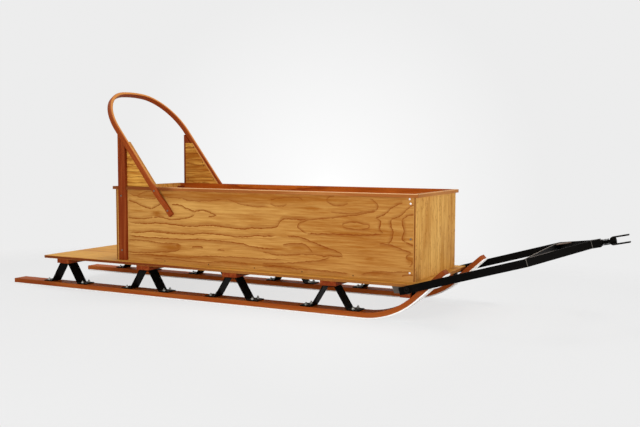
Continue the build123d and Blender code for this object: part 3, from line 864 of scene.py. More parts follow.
class Hardware:
    """Models the patterns of all fasteners and sets their copies on the sled."""

    def __init__(self, zinc: bpy.types.Material, dark: bpy.types.Material, dull: bpy.types.Material,
                 bright: bpy.types.Material, black: bpy.types.Material) -> None:
        """Model the patterns.

        Args:
            zinc: finish of plated nuts.
            dark: finish of blackened fasteners.
            dull: finish of weathered bolts.
            bright: finish of new screws.
            black: finish of the pivots' heads.
        """
        self.patterns = {
            "dark_screw": Fastener(self._screw(0.72), dark),
            "bright_screw": Fastener(self._screw(), bright),
            "coach_bolt": Fastener(self._coach_bolt(), dull),
            "stud_nut": Fastener(self._stud_nut(), zinc),
            "hex_bolt": Fastener(self._hex_bolt(), black),
        }

    @staticmethod
    def _dome(name: str, radius: float, height: float) -> bpy.types.Object:
        """A flattened dome on a short rim: half a sphere cut level, closed below."""
        Bench.clear()
        bpy.ops.mesh.primitive_uv_sphere_add(segments=24, ring_count=12, radius=radius)
        piece = Bench.name(name)
        bpy.ops.object.mode_set(mode="EDIT")
        bpy.ops.mesh.select_all(action="SELECT")
        bpy.ops.mesh.bisect(plane_co=(0, 0, radius * 0.25), plane_no=(0, 0, 1), clear_inner=True, use_fill=True)
        bpy.ops.mesh.select_all(action="SELECT")
        bpy.ops.transform.translate(value=(0, 0, -radius * 0.25))
        bpy.ops.transform.resize(value=(1, 1, height / (radius * 0.75)), center_override=(0, 0, 0))
        Bench.pick(piece, "faces", lambda face: face.normal.z < -0.9)
        bpy.ops.mesh.extrude_region_move(TRANSFORM_OT_translate={"value": (0, 0, -0.0008)})
        bpy.ops.mesh.select_all(action="SELECT")
        bpy.ops.transform.translate(value=(0, 0, 0.0006))
        bpy.ops.object.mode_set(mode="OBJECT")
        return piece

    @staticmethod
    def _coach_bolt() -> bpy.types.Object:
        """A coach bolt's wide, low dome."""
        piece = Hardware._dome("coach_bolt", 0.0055, 0.003)
        Bench.smooth(piece, 50.0)
        return piece

    @staticmethod
    def _screw(size: float = 1.0) -> bpy.types.Object:
        """A pan-head screw with a cross recess pressed into its top, at a share of its full size."""
        piece = Hardware._dome("screw", 0.0052, 0.0024)
        slots = []
        for angle in (0.0, 90.0):
            Bench.clear()
            bpy.ops.mesh.primitive_cube_add(size=1.0)
            slot = Bench.name("slot")
            slot.data.transform(Matrix.Diagonal((0.0056, 0.0011, 0.003, 1.0)))
            slot.data.transform(Matrix.Rotation(math.radians(angle), 4, "Z"))
            slot.data.transform(Matrix.Translation((0, 0, 0.0032)))
            slots.append(slot)
        for slot in slots:
            Bench.modify(piece, "BOOLEAN", operation="DIFFERENCE", object=slot, solver="EXACT")
            bpy.data.objects.remove(slot)
        piece.data.transform(Matrix.Scale(size, 4))
        Bench.smooth(piece, 30.0)
        return piece

    @staticmethod
    def _cylinder(name: str, vertices: int, radius: float, height: float, base: float) -> bpy.types.Object:
        """Start a piece from a cylinder that stands at a height, and leave it in edit mode."""
        Bench.clear()
        bpy.ops.mesh.primitive_cylinder_add(
            vertices=vertices, radius=radius, depth=height, location=(0, 0, base + height / 2))
        piece = Bench.name(name)
        bpy.ops.object.transform_apply(location=True, rotation=True, scale=True)
        bpy.ops.object.mode_set(mode="EDIT")
        return piece

    @staticmethod
    def _pick_rim(piece: bpy.types.Object, top: float) -> None:
        """Select the edges round the top face."""
        Bench.pick(piece, "edges", lambda edge: all(vertex.co.z > top - 1e-5 for vertex in edge.verts))

    @staticmethod
    def _hexagon(name: str, across_flats: float, height: float, base: float) -> bpy.types.Object:
        """A hexagon with its top corners rounded off."""
        piece = Hardware._cylinder(name, 6, across_flats / math.sqrt(3.0), height, base)
        Hardware._pick_rim(piece, base + height)
        bpy.ops.mesh.bevel(offset=height * 0.16, segments=2, profile=0.6)
        Bench.pick(piece, "faces", lambda face: face.normal.z > 0.95)
        bpy.ops.mesh.inset(thickness=across_flats * 0.06)
        bpy.ops.transform.translate(value=(0, 0, height * 0.03))
        bpy.ops.object.mode_set(mode="OBJECT")
        return piece

    @staticmethod
    def _disc(name: str, radius: float, height: float, base: float) -> bpy.types.Object:
        """A round washer with a rounded rim."""
        piece = Hardware._cylinder(name, 24, radius, height, base)
        Hardware._pick_rim(piece, base + height)
        bpy.ops.mesh.bevel(offset=min(radius, height) * 0.3, segments=2)
        bpy.ops.object.mode_set(mode="OBJECT")
        return piece

    @staticmethod
    def _thread(radius: float, pitch: float, base: float, turns: int) -> bpy.types.Object:
        """A core with ridges round it, for a stud's end or a weld bead."""
        piece = Hardware._cylinder("thread", 20, radius, pitch * turns, base)
        half = pitch / 2
        for cut in range(1, 2 * turns):
            bpy.ops.mesh.select_all(action="SELECT")
            bpy.ops.mesh.bisect(plane_co=(0, 0, base + cut * half), plane_no=(0, 0, 1))
        Bench.pick(piece, "verts", lambda vertex: round((vertex.co.z - base) / half) % 2 == 0)
        bpy.ops.transform.resize(value=(0.84, 0.84, 1), center_override=(0, 0, 0))
        bpy.ops.object.mode_set(mode="OBJECT")
        return piece

    @staticmethod
    def _stud_nut() -> bpy.types.Object:
        """A washer and hexagon nut on a threaded stud that stands above it."""
        washer = Hardware._disc("washer", 0.0085, 0.0016, 0.0)
        nut = Hardware._hexagon("nut", 0.013, 0.0065, 0.0016)
        thread = Hardware._thread(0.004, 0.00125, 0.0079, 5)
        piece = Bench.join([washer, nut, thread], "stud_nut")
        Bench.smooth(piece, 30.0)
        return piece

    @staticmethod
    def _hex_bolt() -> bpy.types.Object:
        """A hexagon bolt head on its washer."""
        washer = Hardware._disc("washer", 0.006, 0.0012, 0.0)
        head = Hardware._hexagon("head", 0.009, 0.0035, 0.001)
        piece = Bench.join([washer, head], "hex_bolt")
        Bench.smooth(piece, 30.0)
        return piece

    def fit(self, group: str, body: str, kind: str, places: Sequence[tuple[Point, Point, float]]) -> None:
        """Set copies of one fastener and let them ride on a body.

        Args:
            group: name of the joined copies.
            body: the body that carries them.
            kind: which pattern.
            places: point, direction and twist of each copy.
        """
        fastener = self.patterns[kind]
        piece = Bench.join(fastener.copies(places), group)
        piece.data.materials.clear()
        piece.data.materials.append(fastener.material)
        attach(piece, body)
        LOG.info("%s: %d of %s", group, len(places), kind)

    def tidy(self) -> None:
        """Remove the patterns once every copy is made."""
        for fastener in self.patterns.values():
            bpy.data.objects.remove(fastener.pattern)


@dataclass(frozen=True)
class Datum:
    """Places that other pieces are measured from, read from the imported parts."""

    rear: float
    front: float
    side: float
    floor: float
    top: float

    @staticmethod
    def read() -> "Datum":
        """Read the box's faces and the platform's top."""
        rear_low, rear_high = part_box("rear_panel")
        front_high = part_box("front_panel")[1]
        return Datum(rear_low.x, front_high.x, rear_high.y, rear_low.z, rear_high.z)

    def on_side(self, reach: float, height: float, side: int, proud: float = 0.0) -> Point:
        """A point on a side of the box.

        Args:
            reach: millimetres forward of the rear face.
            height: millimetres above the platform.
            side: 1 for the left side, -1 for the right.
            proud: millimetres outside the side panel.

        Returns:
            The point.
        """
        return (self.rear + reach * MM, side * (self.side + proud * MM), self.floor + height * MM)


# the handlebar's own sizes, in metres and degrees
HOOP = {"slope": 52.8, "foot_reach": 0.303, "depth": 0.030, "thickness": 0.0205}


class BoxFastenings:
    """Screws of the box and platform, and bolts of the posts, gussets and handlebar."""

    # (reach from the rear face, height above the platform), in millimetres
    SIDE_SCREWS = ((1796.0, 397.0), (1801.0, 375.0), (1800.0, 42.0))
    DIM_SCREWS = ((1803.0, 205.0),)
    FOOT_SCREWS = ((345.0, 9.0), (639.0, 9.0), (930.0, 9.0), (1215.0, 9.0), (1502.0, 9.0))
    GUSSET_SCREWS = ((73.0, 447.0), (265.0, 450.0), (191.0, 534.0), (184.0, 553.0), (74.0, 550.0),
                     (117.0, 649.0))
    POST_BOLTS = ((54.0, 368.0), (56.0, 56.0))
    REAR_SCREW_HEIGHTS = (40.0, 150.0, 270.0, 380.0)
    # group, pattern, millimetres proud of the side panel, places
    ON_PANELS = (
        ("side_screws", "bright_screw", -0.3, SIDE_SCREWS),
        ("dim_screws", "coach_bolt", -0.6, DIM_SCREWS),
        ("foot_screws", "dark_screw", -0.6, FOOT_SCREWS),
    )
    # distance up the leg's slope from the top of the box, in millimetres; the first bolt is over the rim
    LEG_BOLTS = (-14.0, -150.0)
    RIM_REACH = -30.0
    # how much further a screw is turned for each millimetre of its place
    SIDE_TWIST = 17.0
    INNER_TWIST = 13.0
    REAR_TWIST = 31.0
    # how far the rear screws lie in from the panel's face and from the side, in metres
    REAR_SINK = 0.0008
    REAR_INSET = 0.0065

    def __init__(self, datum: Datum, hardware: Hardware) -> None:
        """Keep what the fastenings are placed by."""
        self.datum = datum
        self.hardware = hardware

    def build(self) -> None:
        """Set every fastening on both sides of the box."""
        on_side = self.datum.on_side
        for name, side in (("left", 1), ("right", -1)):
            outward, inward = (0.0, float(side), 0.0), (0.0, -float(side), 0.0)
            for group, kind, proud, places in self.ON_PANELS:
                spots = [(on_side(x, h, side, proud), outward, self.SIDE_TWIST * x) for x, h in places]
                self.hardware.fit(f"{group}_{name}", "sled", kind, spots)
            panel_low, panel_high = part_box(f"side_panel_{name}")
            inner = 0.3 - (panel_high.y - panel_low.y) / MM
            spots = [(on_side(x, h, side, inner), inward, self.INNER_TWIST * x) for x, h in self.GUSSET_SCREWS]
            self.hardware.fit(f"gusset_screws_{name}", "sled", "dark_screw", spots)
            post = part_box(f"post_{name}")
            post_face = abs(post[1].y if side > 0 else post[0].y)
            spots = [((self.datum.rear + x * MM, side * post_face, self.datum.floor + h * MM), outward, 0.0)
                     for x, h in self.POST_BOLTS]
            self.hardware.fit(f"post_bolts_{name}", "sled", "coach_bolt", spots)
            self.hardware.fit(f"leg_bolts_{name}", "sled", "coach_bolt", list(self._leg_spots(side)))
        self._end_screws()

    def _leg_spots(self, side: int) -> Iterable[tuple[Point, Point, float]]:
        """Bolts through the handlebar's legs into the box."""
        rim_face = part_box("handlebar")[1].y
        panel_face = self.datum.side + HOOP["thickness"]
        lean = math.radians(HOOP["slope"])
        for up in self.LEG_BOLTS:
            along = up * MM
            middle = -HOOP["depth"] / 2
            x = self.datum.rear + HOOP["foot_reach"] - along * math.cos(lean) + middle * math.sin(lean)
            z = self.datum.top + along * math.sin(lean) + middle * math.cos(lean)
            face = rim_face if up > self.RIM_REACH else panel_face
            yield (x, side * face, z), (0.0, float(side), 0.0), 0.0

    def _end_screws(self) -> None:
        """Screws along the upright edges of the rear panel, set almost flush."""
        spots = []
        for side in (1, -1):
            for height in self.REAR_SCREW_HEIGHTS:
                point = (self.datum.rear + self.REAR_SINK, side * (self.datum.side - self.REAR_INSET),
                         self.datum.floor + height * MM)
                spots.append((point, (-1.0, 0.0, 0.0), self.REAR_TWIST * height))
        self.hardware.fit("rear_panel_screws", "sled", "dark_screw", spots)


class RunnerFastenings:
    """Nuts on the feet of the struts and bolts on the upturned toes of the runners."""

    # distance of the nuts from the middle of a strut, and to each side of the runner's middle line
    FOOT = 0.131
    SPREAD = 0.023
    # distance up the straight part of the toe, and across the runner from its middle line
    TOE_NUTS = ((0.098, -0.022), (0.113, -0.022), (0.098, 0.022), (0.113, 0.022))
    STRUT_THICKNESS = 0.006
    # how far the two nuts of a foot are out of line
    SKEW = 0.003
    # runner and shoe together
    TOE_THICKNESS = 0.031
    # how far a nut is turned for each metre of its place, and for its side
    TWIST = 500.0
    SIDE_TWIST = 40.0

    def __init__(self, hardware: Hardware, bend: Bend) -> None:
        """Keep the fasteners and the curve of the toes."""
        self.hardware = hardware
        self.bend = bend

    def build(self) -> None:
        """Set the nuts of every strut, and those of both toes."""
        for name in ("left", "right"):
            spots = []
            for number in range(1, 5):
                low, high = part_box(f"strut_{number}_{name}")
                middle = (low + high) / 2
                z = low.z + self.STRUT_THICKNESS
                for way in (-1, 1):
                    for side in (-1, 1):
                        point = (middle.x + way * self.FOOT + side * self.SKEW, middle.y + side * self.SPREAD, z)
                        twist = self.TWIST * point[0] + self.SIDE_TWIST * side
                        spots.append((point, (0.0, 0.0, 1.0), twist))
            self.hardware.fit(f"strut_nuts_{name}", "sled", "stud_nut", spots)
            low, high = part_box(f"runner_{name}")
            spots = [self._on_toe(up, (low.y + high.y) / 2 + across) for up, across in self.TOE_NUTS]
            self.hardware.fit(f"toe_nuts_{name}", "sled", "coach_bolt", spots)

    def _on_toe(self, up: float, y: float) -> tuple[Point, Point, float]:
        """A place on top of a toe, the way it faces and a twist."""
        turn = math.radians(self.bend.sweep)
        inner = self.bend.radius - self.TOE_THICKNESS
        x = self.bend.start + inner * math.sin(turn) + up * math.cos(turn)
        z = self.bend.radius - inner * math.cos(turn) + up * math.sin(turn)
        return (x, y, z), (-math.sin(turn), 0.0, math.cos(turn)), 0.0


# corners of a plate, as reach along the drawbar and distance from its middle, and the plate's rise over the
# arms' middle line
PLATE_CORNERS = ((0.577, 0.366), (0.577, 0.290), (0.668, 0.205), (0.672, 0.212))
PLATE_RISE = 0.0135
# how far a pivot's bolt head is sunk, and its twist in degrees
HEAD_SINK = 0.0002
HEAD_TWIST = 20.0
BEAD_PITCH = 0.0026
BEAD_RADIUS = 0.0018


@dataclass(frozen=True)
class DrawbarFittings:
    """Bolt heads on the drawbar's pivots, its corner plates and the weld beads of its joints.

    Attributes:
        pivot: X and Z of the pivots.
        slope: lean of the arms, in degrees.
        half_height: half the height of the arms.
        bend: where the arms turn in, along them from the pivots.
        nose: where the arms end.
        drop: how far the nose lies below the arms' own line.
        outer: Y of the arms' outer faces.
        head: Y of the outer faces of the pivot pins.
        nose_half: half width of the nose.
    """

    pivot: tuple[float, float]
    slope: float = 16.3
    half_height: float = 0.0185
    bend: float = 0.579
    nose: float = 0.802
    drop: float = 0.00634
    outer: float = 0.386
    head: float = 0.3943
    nose_half: float = 0.019

    def place(self, reach: float, rise: float, y: float) -> Vector:
        """A point given along the drawbar, square to it and across the sled."""
        lean = math.radians(self.slope)
        return Vector((self.pivot[0] + reach * math.cos(lean) - rise * math.sin(lean), y,
                       self.pivot[1] + reach * math.sin(lean) + rise * math.cos(lean)))

    def build(self, hardware: Hardware, steel: bpy.types.Material, plate: bpy.types.Material) -> None:
        """Set the bolt heads, fit the corner plates and lay the beads.

        Args:
            hardware: holds the bolt heads.
            steel: finish of the beads.
            plate: finish of the corner plates.
        """
        for name, side in (("left", 1.0), ("right", -1.0)):
            point = (self.pivot[0], side * (self.head - HEAD_SINK), self.pivot[1])
            spot = (point, (0.0, side, 0.0), HEAD_TWIST)
            hardware.fit(f"pivot_bolt_{name}", "sled", "hex_bolt", [spot])
            self._corner_plate(name, side, plate)
            self._bead(f"bend_weld_{name}", steel, self.place(self.bend, -self.half_height, side * self.outer),
                       self.place(self.bend, self.half_height, side * self.outer))
            self._bead(f"nose_weld_{name}", steel,
                       self.place(self.nose, -self.drop - self.half_height, side * self.nose_half),
                       self.place(self.nose, self.half_height - self.drop, side * self.nose_half))
        self._bead("nose_weld_top", steel, self.place(self.nose, self.half_height - self.drop, -self.nose_half),
                   self.place(self.nose, self.half_height - self.drop, self.nose_half))

    def _corner_plate(self, name: str, side: float, steel: bpy.types.Material) -> None:
        """A flat plate in the corner between the crossbar and an arm, with its edges broken."""
        Bench.clear()
        bpy.ops.mesh.primitive_plane_add(size=1.0)
        piece = Bench.name(f"corner_plate_{name}")
        for vertex, (reach, across) in zip((0, 1, 3, 2), PLATE_CORNERS):
            piece.data.vertices[vertex].co = self.place(reach, PLATE_RISE, side * across)
        Bench.modify(piece, "SOLIDIFY", thickness=0.004, offset=0.0)
        bpy.ops.object.mode_set(mode="EDIT")
        bpy.ops.mesh.select_all(action="SELECT")
        bpy.ops.mesh.normals_make_consistent(inside=False)
        bpy.ops.object.mode_set(mode="OBJECT")
        Bench.modify(piece, "BEVEL", width=0.0008, segments=2)
        Bench.smooth(piece, 30.0)
        piece.data.materials.append(steel)
        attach(piece, "drawbar")
        LOG.info("%s: one plate", piece.name)

    @staticmethod
    def _bead(name: str, steel: bpy.types.Material, start: Vector, end: Vector) -> None:
        """A rippled weld bead from one point to another."""
        turns = max(4, round((end - start).length / BEAD_PITCH))
        piece = Hardware._thread(BEAD_RADIUS, (end - start).length / turns, 0.0, turns)
        piece = Bench.name(name)
        piece.data.transform(Matrix.Translation(start) @ turn_to(end - start))
        Bench.smooth(piece, 70.0)
        piece.data.materials.append(steel)
        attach(piece, "drawbar")
        LOG.info("%s: %d ripples", name, turns)


class HitchSpring:
    """Coil spring between the drawbar's nose and the fork."""

    def __init__(self, steel: bpy.types.Material) -> None:
        """Keep the spring's finish."""
        self.steel = steel
        self.wire = 0.0018
        self.turns = 5

    def build(self, start: Vector, end: Vector, radius: float) -> None:
        """Wind the coil and let it ride on the fork.

        Args:
            start: the rear end of the coil's axis.
            end: its front end.
            radius: the coil's outer radius.
        """
        length = (end - start).length
        middle = radius - self.wire
        pitch = (length - 2 * self.wire) / self.turns
        Bench.clear()
        bpy.ops.mesh.primitive_circle_add(vertices=10, radius=self.wire, fill_type="NOTHING")
        piece = Bench.name("hitch_spring_coil")
        piece.data.transform(Matrix.Rotation(math.radians(90.0), 4, "X"))
        piece.data.transform(Matrix.Translation((middle, 0.0, self.wire)))
        Bench.modify(piece, "SCREW", angle=math.tau * self.turns, screw_offset=pitch * self.turns,
                     steps=24 * self.turns, render_steps=24 * self.turns, axis="Z", use_merge_vertices=False)
        bpy.ops.object.mode_set(mode="EDIT")
        Bench.pick(piece, "edges", lambda edge: edge.is_boundary)
        bpy.ops.mesh.edge_face_add()
        bpy.ops.mesh.select_all(action="SELECT")
        bpy.ops.mesh.normals_make_consistent(inside=False)
        bpy.ops.object.mode_set(mode="OBJECT")
        piece.data.transform(Matrix.Translation(start) @ turn_to(end - start))
        piece.data.materials.append(self.steel)
        Bench.smooth(piece, 60.0)
        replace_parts(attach(piece, "fork"), "hitch_spring")
        LOG.info("hitch spring: %d turns", self.turns)


# ---------------------------------------------------------------- studio
@dataclass(frozen=True)
class Studio:
    """Pale floor, soft lamps, pale surroundings and the camera.

    Attributes:
        camera_place: where the camera stands.
        right: which way the view's right points.
        up: which way the view's top points.
        lens: focal length, in millimetres.
        backdrop: how bright the surroundings are.
        glow: how much brighter they are where they glow.
    """

    camera_place: Point
    right: Point
    up: Point
    lens: float = 45.944
    backdrop: float = 0.846
    glow: float = 0.153

    def build(self) -> None:
        """Build everything that isn't the sled."""
        self._camera()
        self._world()
        self._floor()
        self._lamps()
        bpy.context.scene.view_settings.view_transform = "Standard"

    def _camera(self) -> None:
        """Place the camera."""
        data = bpy.data.cameras.new("camera")
        data.lens = self.lens
        data.sensor_width = 36.0
        camera = bpy.data.objects.new("camera", data)
        bpy.context.scene.collection.objects.link(camera)
        right = Vector(self.right).normalized()
        up = Vector(self.up).normalized()
        back = right.cross(up)
        turn = Matrix((right, up, back)).transposed().to_4x4()
        camera.matrix_world = Matrix.Translation(self.camera_place) @ turn
        bpy.context.scene.camera = camera

    def _world(self) -> None:
        """Surroundings: a pale backdrop, darker behind the camera in what gloss shows, and a soft light."""
        world = bpy.data.worlds.new("surroundings")
        world.use_nodes = True
        bpy.context.scene.world = world
        maker = NodeMaker(world.node_tree)
        maker.tree.nodes.clear()
        direction = maker.node("ShaderNodeTexCoord").outputs["Generated"]
        settings = {"operation": "DOT_PRODUCT"}
        bright = maker.value("ShaderNodeVectorMath", settings, {0: direction, 1: GLOW_WAY}, "Value")
        away = bright.math("MINIMUM", 1.0).math("ARCCOSINE") / math.radians(GLOW_REACH)
        level = (1.0 - away).math("MAXIMUM", 0.0) ** GLOW_FALL * self.glow + self.backdrop
        rays = maker.node("ShaderNodeLightPath")
        mirrored = Value(maker, rays.outputs["Is Glossy Ray"]).math(
            "MAXIMUM", Value(maker, rays.outputs["Is Transmission Ray"]))
        ahead = maker.value("ShaderNodeVectorMath", settings, {0: direction, 1: ROOM_WAY}, "Value")
        room = ahead.step(*ROOM_FADE) * (1.0 - ROOM_DARK) + ROOM_DARK
        level = level * (1.0 - mirrored * (1.0 - room))
        seen = maker.node("ShaderNodeBackground", None, {"Color": level, "Strength": 1.0})
        light = maker.node("ShaderNodeBackground", None, {"Color": (1.0, 1.0, 1.0, 1.0), "Strength": WORLD_LIGHT})
        direct = Value(maker, rays.outputs["Is Camera Ray"]).math("MAXIMUM", mirrored)
        both = maker.node("ShaderNodeMixShader", None, {0: direct, 1: light.outputs[0], 2: seen.outputs[0]})
        maker.node("ShaderNodeOutputWorld", None, {0: both.outputs[0]})

    def _floor(self) -> None:
        """A pale floor that keeps the sled's shadow and fades into the surroundings."""
        Bench.clear()
        bpy.ops.mesh.primitive_plane_add(size=24.0, location=(0.0, 0.0, -0.0005))
        floor = Bench.name("floor")
        bpy.ops.object.transform_apply(location=True, rotation=True, scale=True)
        maker = MaterialMaker("pale_floor")
        x, y, _ = maker.position()
        out = maker.tree.nodes["Material Output"]
        plain = maker.node("ShaderNodeBsdfDiffuse", None, {"Color": (FLOOR_PAINT,) * 3 + (1.0,)})
        clear = maker.node("ShaderNodeBsdfTransparent")
        rays = maker.node("ShaderNodeLightPath")
        direct = Value(maker, rays.outputs["Is Camera Ray"])
        direct = direct.math("MAXIMUM", Value(maker, rays.outputs["Is Glossy Ray"]))
        direct = direct.math("MAXIMUM", Value(maker, rays.outputs["Is Transmission Ray"]))
        far = ((x / FLOOR_REACH[0]) ** 2.0 + ((y + FLOOR_SHIFT) / FLOOR_REACH[1]) ** 2.0).math("SQRT")
        share = (far.step(*FLOOR_FADE) * (1.0 - FLOOR_CLEAR) + FLOOR_CLEAR) * direct
        both = maker.node("ShaderNodeMixShader", None, {0: share, 1: plain.outputs[0], 2: clear.outputs[0]})
        maker.tree.links.new(both.outputs[0], out.inputs["Surface"])
        floor.data.materials.append(maker.material)

    def _lamps(self) -> None:
        """Large soft lamps."""
        for name, place, aim, size, power in LAMPS:
            data = bpy.data.lights.new(name, "AREA")
            data.shape = "DISK"
            data.size = size
            data.energy = power
            lamp = bpy.data.objects.new(name, data)
            bpy.context.scene.collection.objects.link(lamp)
            way = Vector(aim) - Vector(place)
            lamp.matrix_world = Matrix.Translation(place) @ way.to_track_quat("-Z", "Y").to_matrix().to_4x4()


# where the backdrop glows, how many degrees the glow reaches and how quickly it falls off
GLOW_WAY = (-0.4418, 0.896, -0.0508)
GLOW_REACH = 14.6
GLOW_FALL = 1.15
# the bright side of what gloss shows, between which cosines it turns dark, and how dark
ROOM_WAY = (-0.40, 0.80, 0.447)
ROOM_FADE = (-0.25, 0.45)
ROOM_DARK = 0.12
WORLD_LIGHT = 0.46
# the floor's colour, its clear share near the sled, the half lengths of the ellipse where it fades out, the
# ellipse's shift to the right, and the shares of those half lengths between which it fades
FLOOR_PAINT = 0.75
FLOOR_CLEAR = 0.8
FLOOR_REACH = (3.2, 2.3)
FLOOR_SHIFT = 0.2
FLOOR_FADE = (0.72, 1.15)
# name, place, what it is aimed at, width in metres, power in watts
LAMPS = (
    ("key_lamp", (-0.3, 0.6, 4.2), (0.0, 0.0, 0.3), 2.4, 100.0),
    ("fill_lamp", (0.4, -4.8, 1.2), (0.0, 0.0, 0.3), 3.0, 110.0),
    ("front_lamp", (4.4, -0.9, 1.0), (0.6, 0.0, 0.3), 2.0, 56.0),
)


# ---------------------------------------------------------------- dressing
PLY_PALE = (0.62, 0.33, 0.085)
PLY_DEEP = (0.36, 0.122, 0.014)
PLY_LINE = (0.25, 0.055, 0.004)
PLY_EDGE = (0.52, 0.23, 0.05)
EDGE_STAIN = (0.23, 0.05, 0.010)

# points, strength, shade and, where the points are in order of height, True
# most of the points were sighted one by one, and a separate script turned them into these millimetres
NEAR_LINES = tuple(GrowthLine(*row) for row in (
    # long lines of the upper half
    (((81, 398), (153, 368), (245, 357), (350, 368), (452, 365), (520, 353), (619, 354), (754, 366),
                (811, 354), (873, 340), (947, 334), (1026, 336)), 0.75, 48.0),
    (((153, 366), (196, 389), (246, 399), (300, 402)), 0.7, -24.0),
    (((88, 344), (152, 328), (223, 305), (258, 298)), 0.95),
    (((257, 298), (287, 313), (315, 325), (350, 332)), 0.95),
    # the eye behind the foot of the handlebar, and the dart in front of it
    (((391, 327), (439, 329), (492, 311), (552, 292)), 1.0, -16.0),
    (((265, 250), (314, 255), (383, 244), (465, 250), (519, 263), (552, 285)), 0.95, 16.0),
    (((546, 290), (585, 301), (631, 297), (670, 285), (692, 277)), 0.95, 16.0),
    (((640, 268), (668, 272), (692, 277)), 0.9, 16.0),
    (((86, 246), (172, 241), (265, 252)), 0.9, 24.0),
    # long lines of the lower half
    (((85, 220), (172, 213), (313, 221), (396, 216), (518, 213), (650, 222), (747, 218), (860, 212),
                (916, 220), (965, 222), (1050, 229), (1086, 259), (1121, 276), (1203, 276),
      (1272, 287)), 1.0, 28.0),
    (((84, 160), (171, 161), (242, 170), (382, 168), (518, 169), (617, 177), (715, 176), (841, 169),
                (935, 179), (1038, 184), (1064, 193)), 0.95, 28.0),
    (((242, 172), (300, 178), (382, 169)), 0.7, 14.0),
    (((84, 143), (171, 138), (312, 137), (484, 137), (584, 142), (714, 141), (841, 134), (934, 120),
                (1026, 115), (1076, 119)), 0.95, -34.0),
    (((83, 114), (170, 118), (242, 116), (312, 109), (381, 110), (436, 107), (458, 90)), 0.85, -16.0),
    (((82, 45), (205, 49), (311, 58), (394, 66), (458, 88)), 0.85, 28.0),
    (((82, 27), (205, 38), (346, 38), (483, 35), (583, 49), (778, 58), (965, 59), (1120, 66)), 0.8, -38.0),
    (((250, 20), (400, 22), (560, 16), (760, 30), (900, 28)), 0.75, -28.0),
    (((528, 98), (570, 103), (606, 100)), 1.0, -20.0),
    (((700, 92), (724, 94), (742, 92)), 0.8, -14.0),
    # the long ellipse of the front half
    (((1191, 253), (1232, 270), (1295, 282), (1429, 298), (1564, 320), (1633, 337)), 0.85, 18.0),
    (((1243, 206), (1209, 223), (1191, 242), (1222, 266)), 0.95, 22.0, True),
    (((1243, 206), (1346, 209), (1457, 212), (1565, 214), (1657, 224)), 0.95, -18.0),
    (((1440, 255), (1484, 275), (1538, 272), (1594, 259)), 0.8, 20.0),
    (((1440, 253), (1484, 240), (1554, 241), (1594, 259)), 0.75, -20.0),
    # upright arcs that flare into the front corners
    (((1660, 226), (1644, 252), (1649, 282), (1623, 300)), 1.0, -20.0, True),
    (((1623, 300), (1670, 321), (1706, 352), (1762, 380)), 0.95, 20.0),
    (((1687, 172), (1702, 197), (1712, 236), (1701, 265), (1701, 298)), 1.0, -20.0, True),
    (((1701, 298), (1747, 315), (1788, 350), (1825, 377)), 0.9, 20.0),
    (((1784, 186), (1759, 214), (1769, 234), (1763, 262), (1758, 296)), 1.0, 24.0, True),
    (((1758, 296), (1788, 316), (1825, 323)), 0.9, 18.0),
    (((1782, 187), (1804, 180), (1825, 178)), 0.9, -18.0),
    (((1640, 176), (1708, 170), (1749, 156), (1807, 140)), 0.9, -20.0),
    (((1805, 140), (1783, 112), (1812, 96), (1796, 70)), 0.8, 22.0, True),
    # the knot, and the points that reach forward from it
    (((1125, 189), (1203, 184), (1289, 160), (1374, 135), (1419, 122), (1448, 99)), 0.95, -22.0),
    (((1329, 91), (1374, 99), (1448, 99)), 0.9, 22.0),
    (((1103, 143), (1180, 150), (1221, 152), (1261, 128), (1280, 105)), 0.9, -22.0),
    (((977, 99), (1086, 87), (1203, 97), (1307, 100), (1346, 93)), 0.85, 28.0),
    (((977, 36), (1115, 47), (1232, 60), (1329, 76), (1374, 92)), 0.85, -24.0),
    (((977, 20), (1086, 27), (1203, 22), (1318, 22), (1485, 16)), 0.8, -22.0),
    # loops near the top edge
    (((1351, 378), (1367, 392), (1400, 398)), 0.75, 16.0),
    (((1351, 374), (1380, 360), (1417, 354), (1474, 366)), 0.75, 18.0),
    (((1373, 321), (1483, 317), (1564, 327), (1624, 338)), 0.7, 18.0),
    (((1622, 337), (1634, 352), (1606, 388), (1590, 396)), 0.85, -20.0, True),
    (((1026, 371), (1086, 383), (1165, 390), (1222, 374)), 0.7, 16.0),
    (((1026, 350), (1086, 341), (1127, 349)), 0.7, 16.0),
    (((1760, 24), (1790, 32), (1826, 30)), 0.8, 18.0),
    (((1545, 18), (1610, 34), (1700, 40), (1800, 46)), 0.7, -24.0),
))

# along, up, length, height and strength
NEAR_PATCHES = tuple(Patch(*row) for row in (
    (372.0, 88.0, 92.0, 21.0, 0.95),
    (436.0, 96.0, 26.0, 14.0, 0.9),
    (292.0, 272.0, 34.0, 15.0, 0.9),
    (150.0, 283.0, 70.0, 9.0, 0.55),
    (470.0, 40.0, 190.0, 12.0, 0.6),
    (1000.0, 30.0, 320.0, 15.0, 0.55),
    (905.0, 272.0, 95.0, 15.0, 0.6),
    (900.0, 385.0, 1000.0, 34.0, 0.8),
    (1620.0, 230.0, 460.0, 270.0, 0.5),
    (1065.0, 122.0, 90.0, 12.0, 0.6),
    (1190.0, 130.0, 70.0, 14.0, 0.7),
    (1275.0, 334.0, 70.0, 13.0, 0.8),
    (1520.0, 257.0, 66.0, 15.0, 0.75),
    (1110.0, 372.0, 80.0, 14.0, 0.6),
    (1570.0, 186.0, 26.0, 44.0, 0.5),
    (1590.0, 96.0, 46.0, 20.0, 0.65),
    (1745.0, 250.0, 90.0, 120.0, 0.42),
    (1800.0, 108.0, 30.0, 34.0, 0.85),
    (1620.0, 30.0, 170.0, 16.0, 0.7),
))


# where the runners start to bend, from the rear of the box, and the radius and angle of the bend
TOE_REACH = 1.579
TOE_RADIUS = 0.410
TOE_SWEEP = 42.5
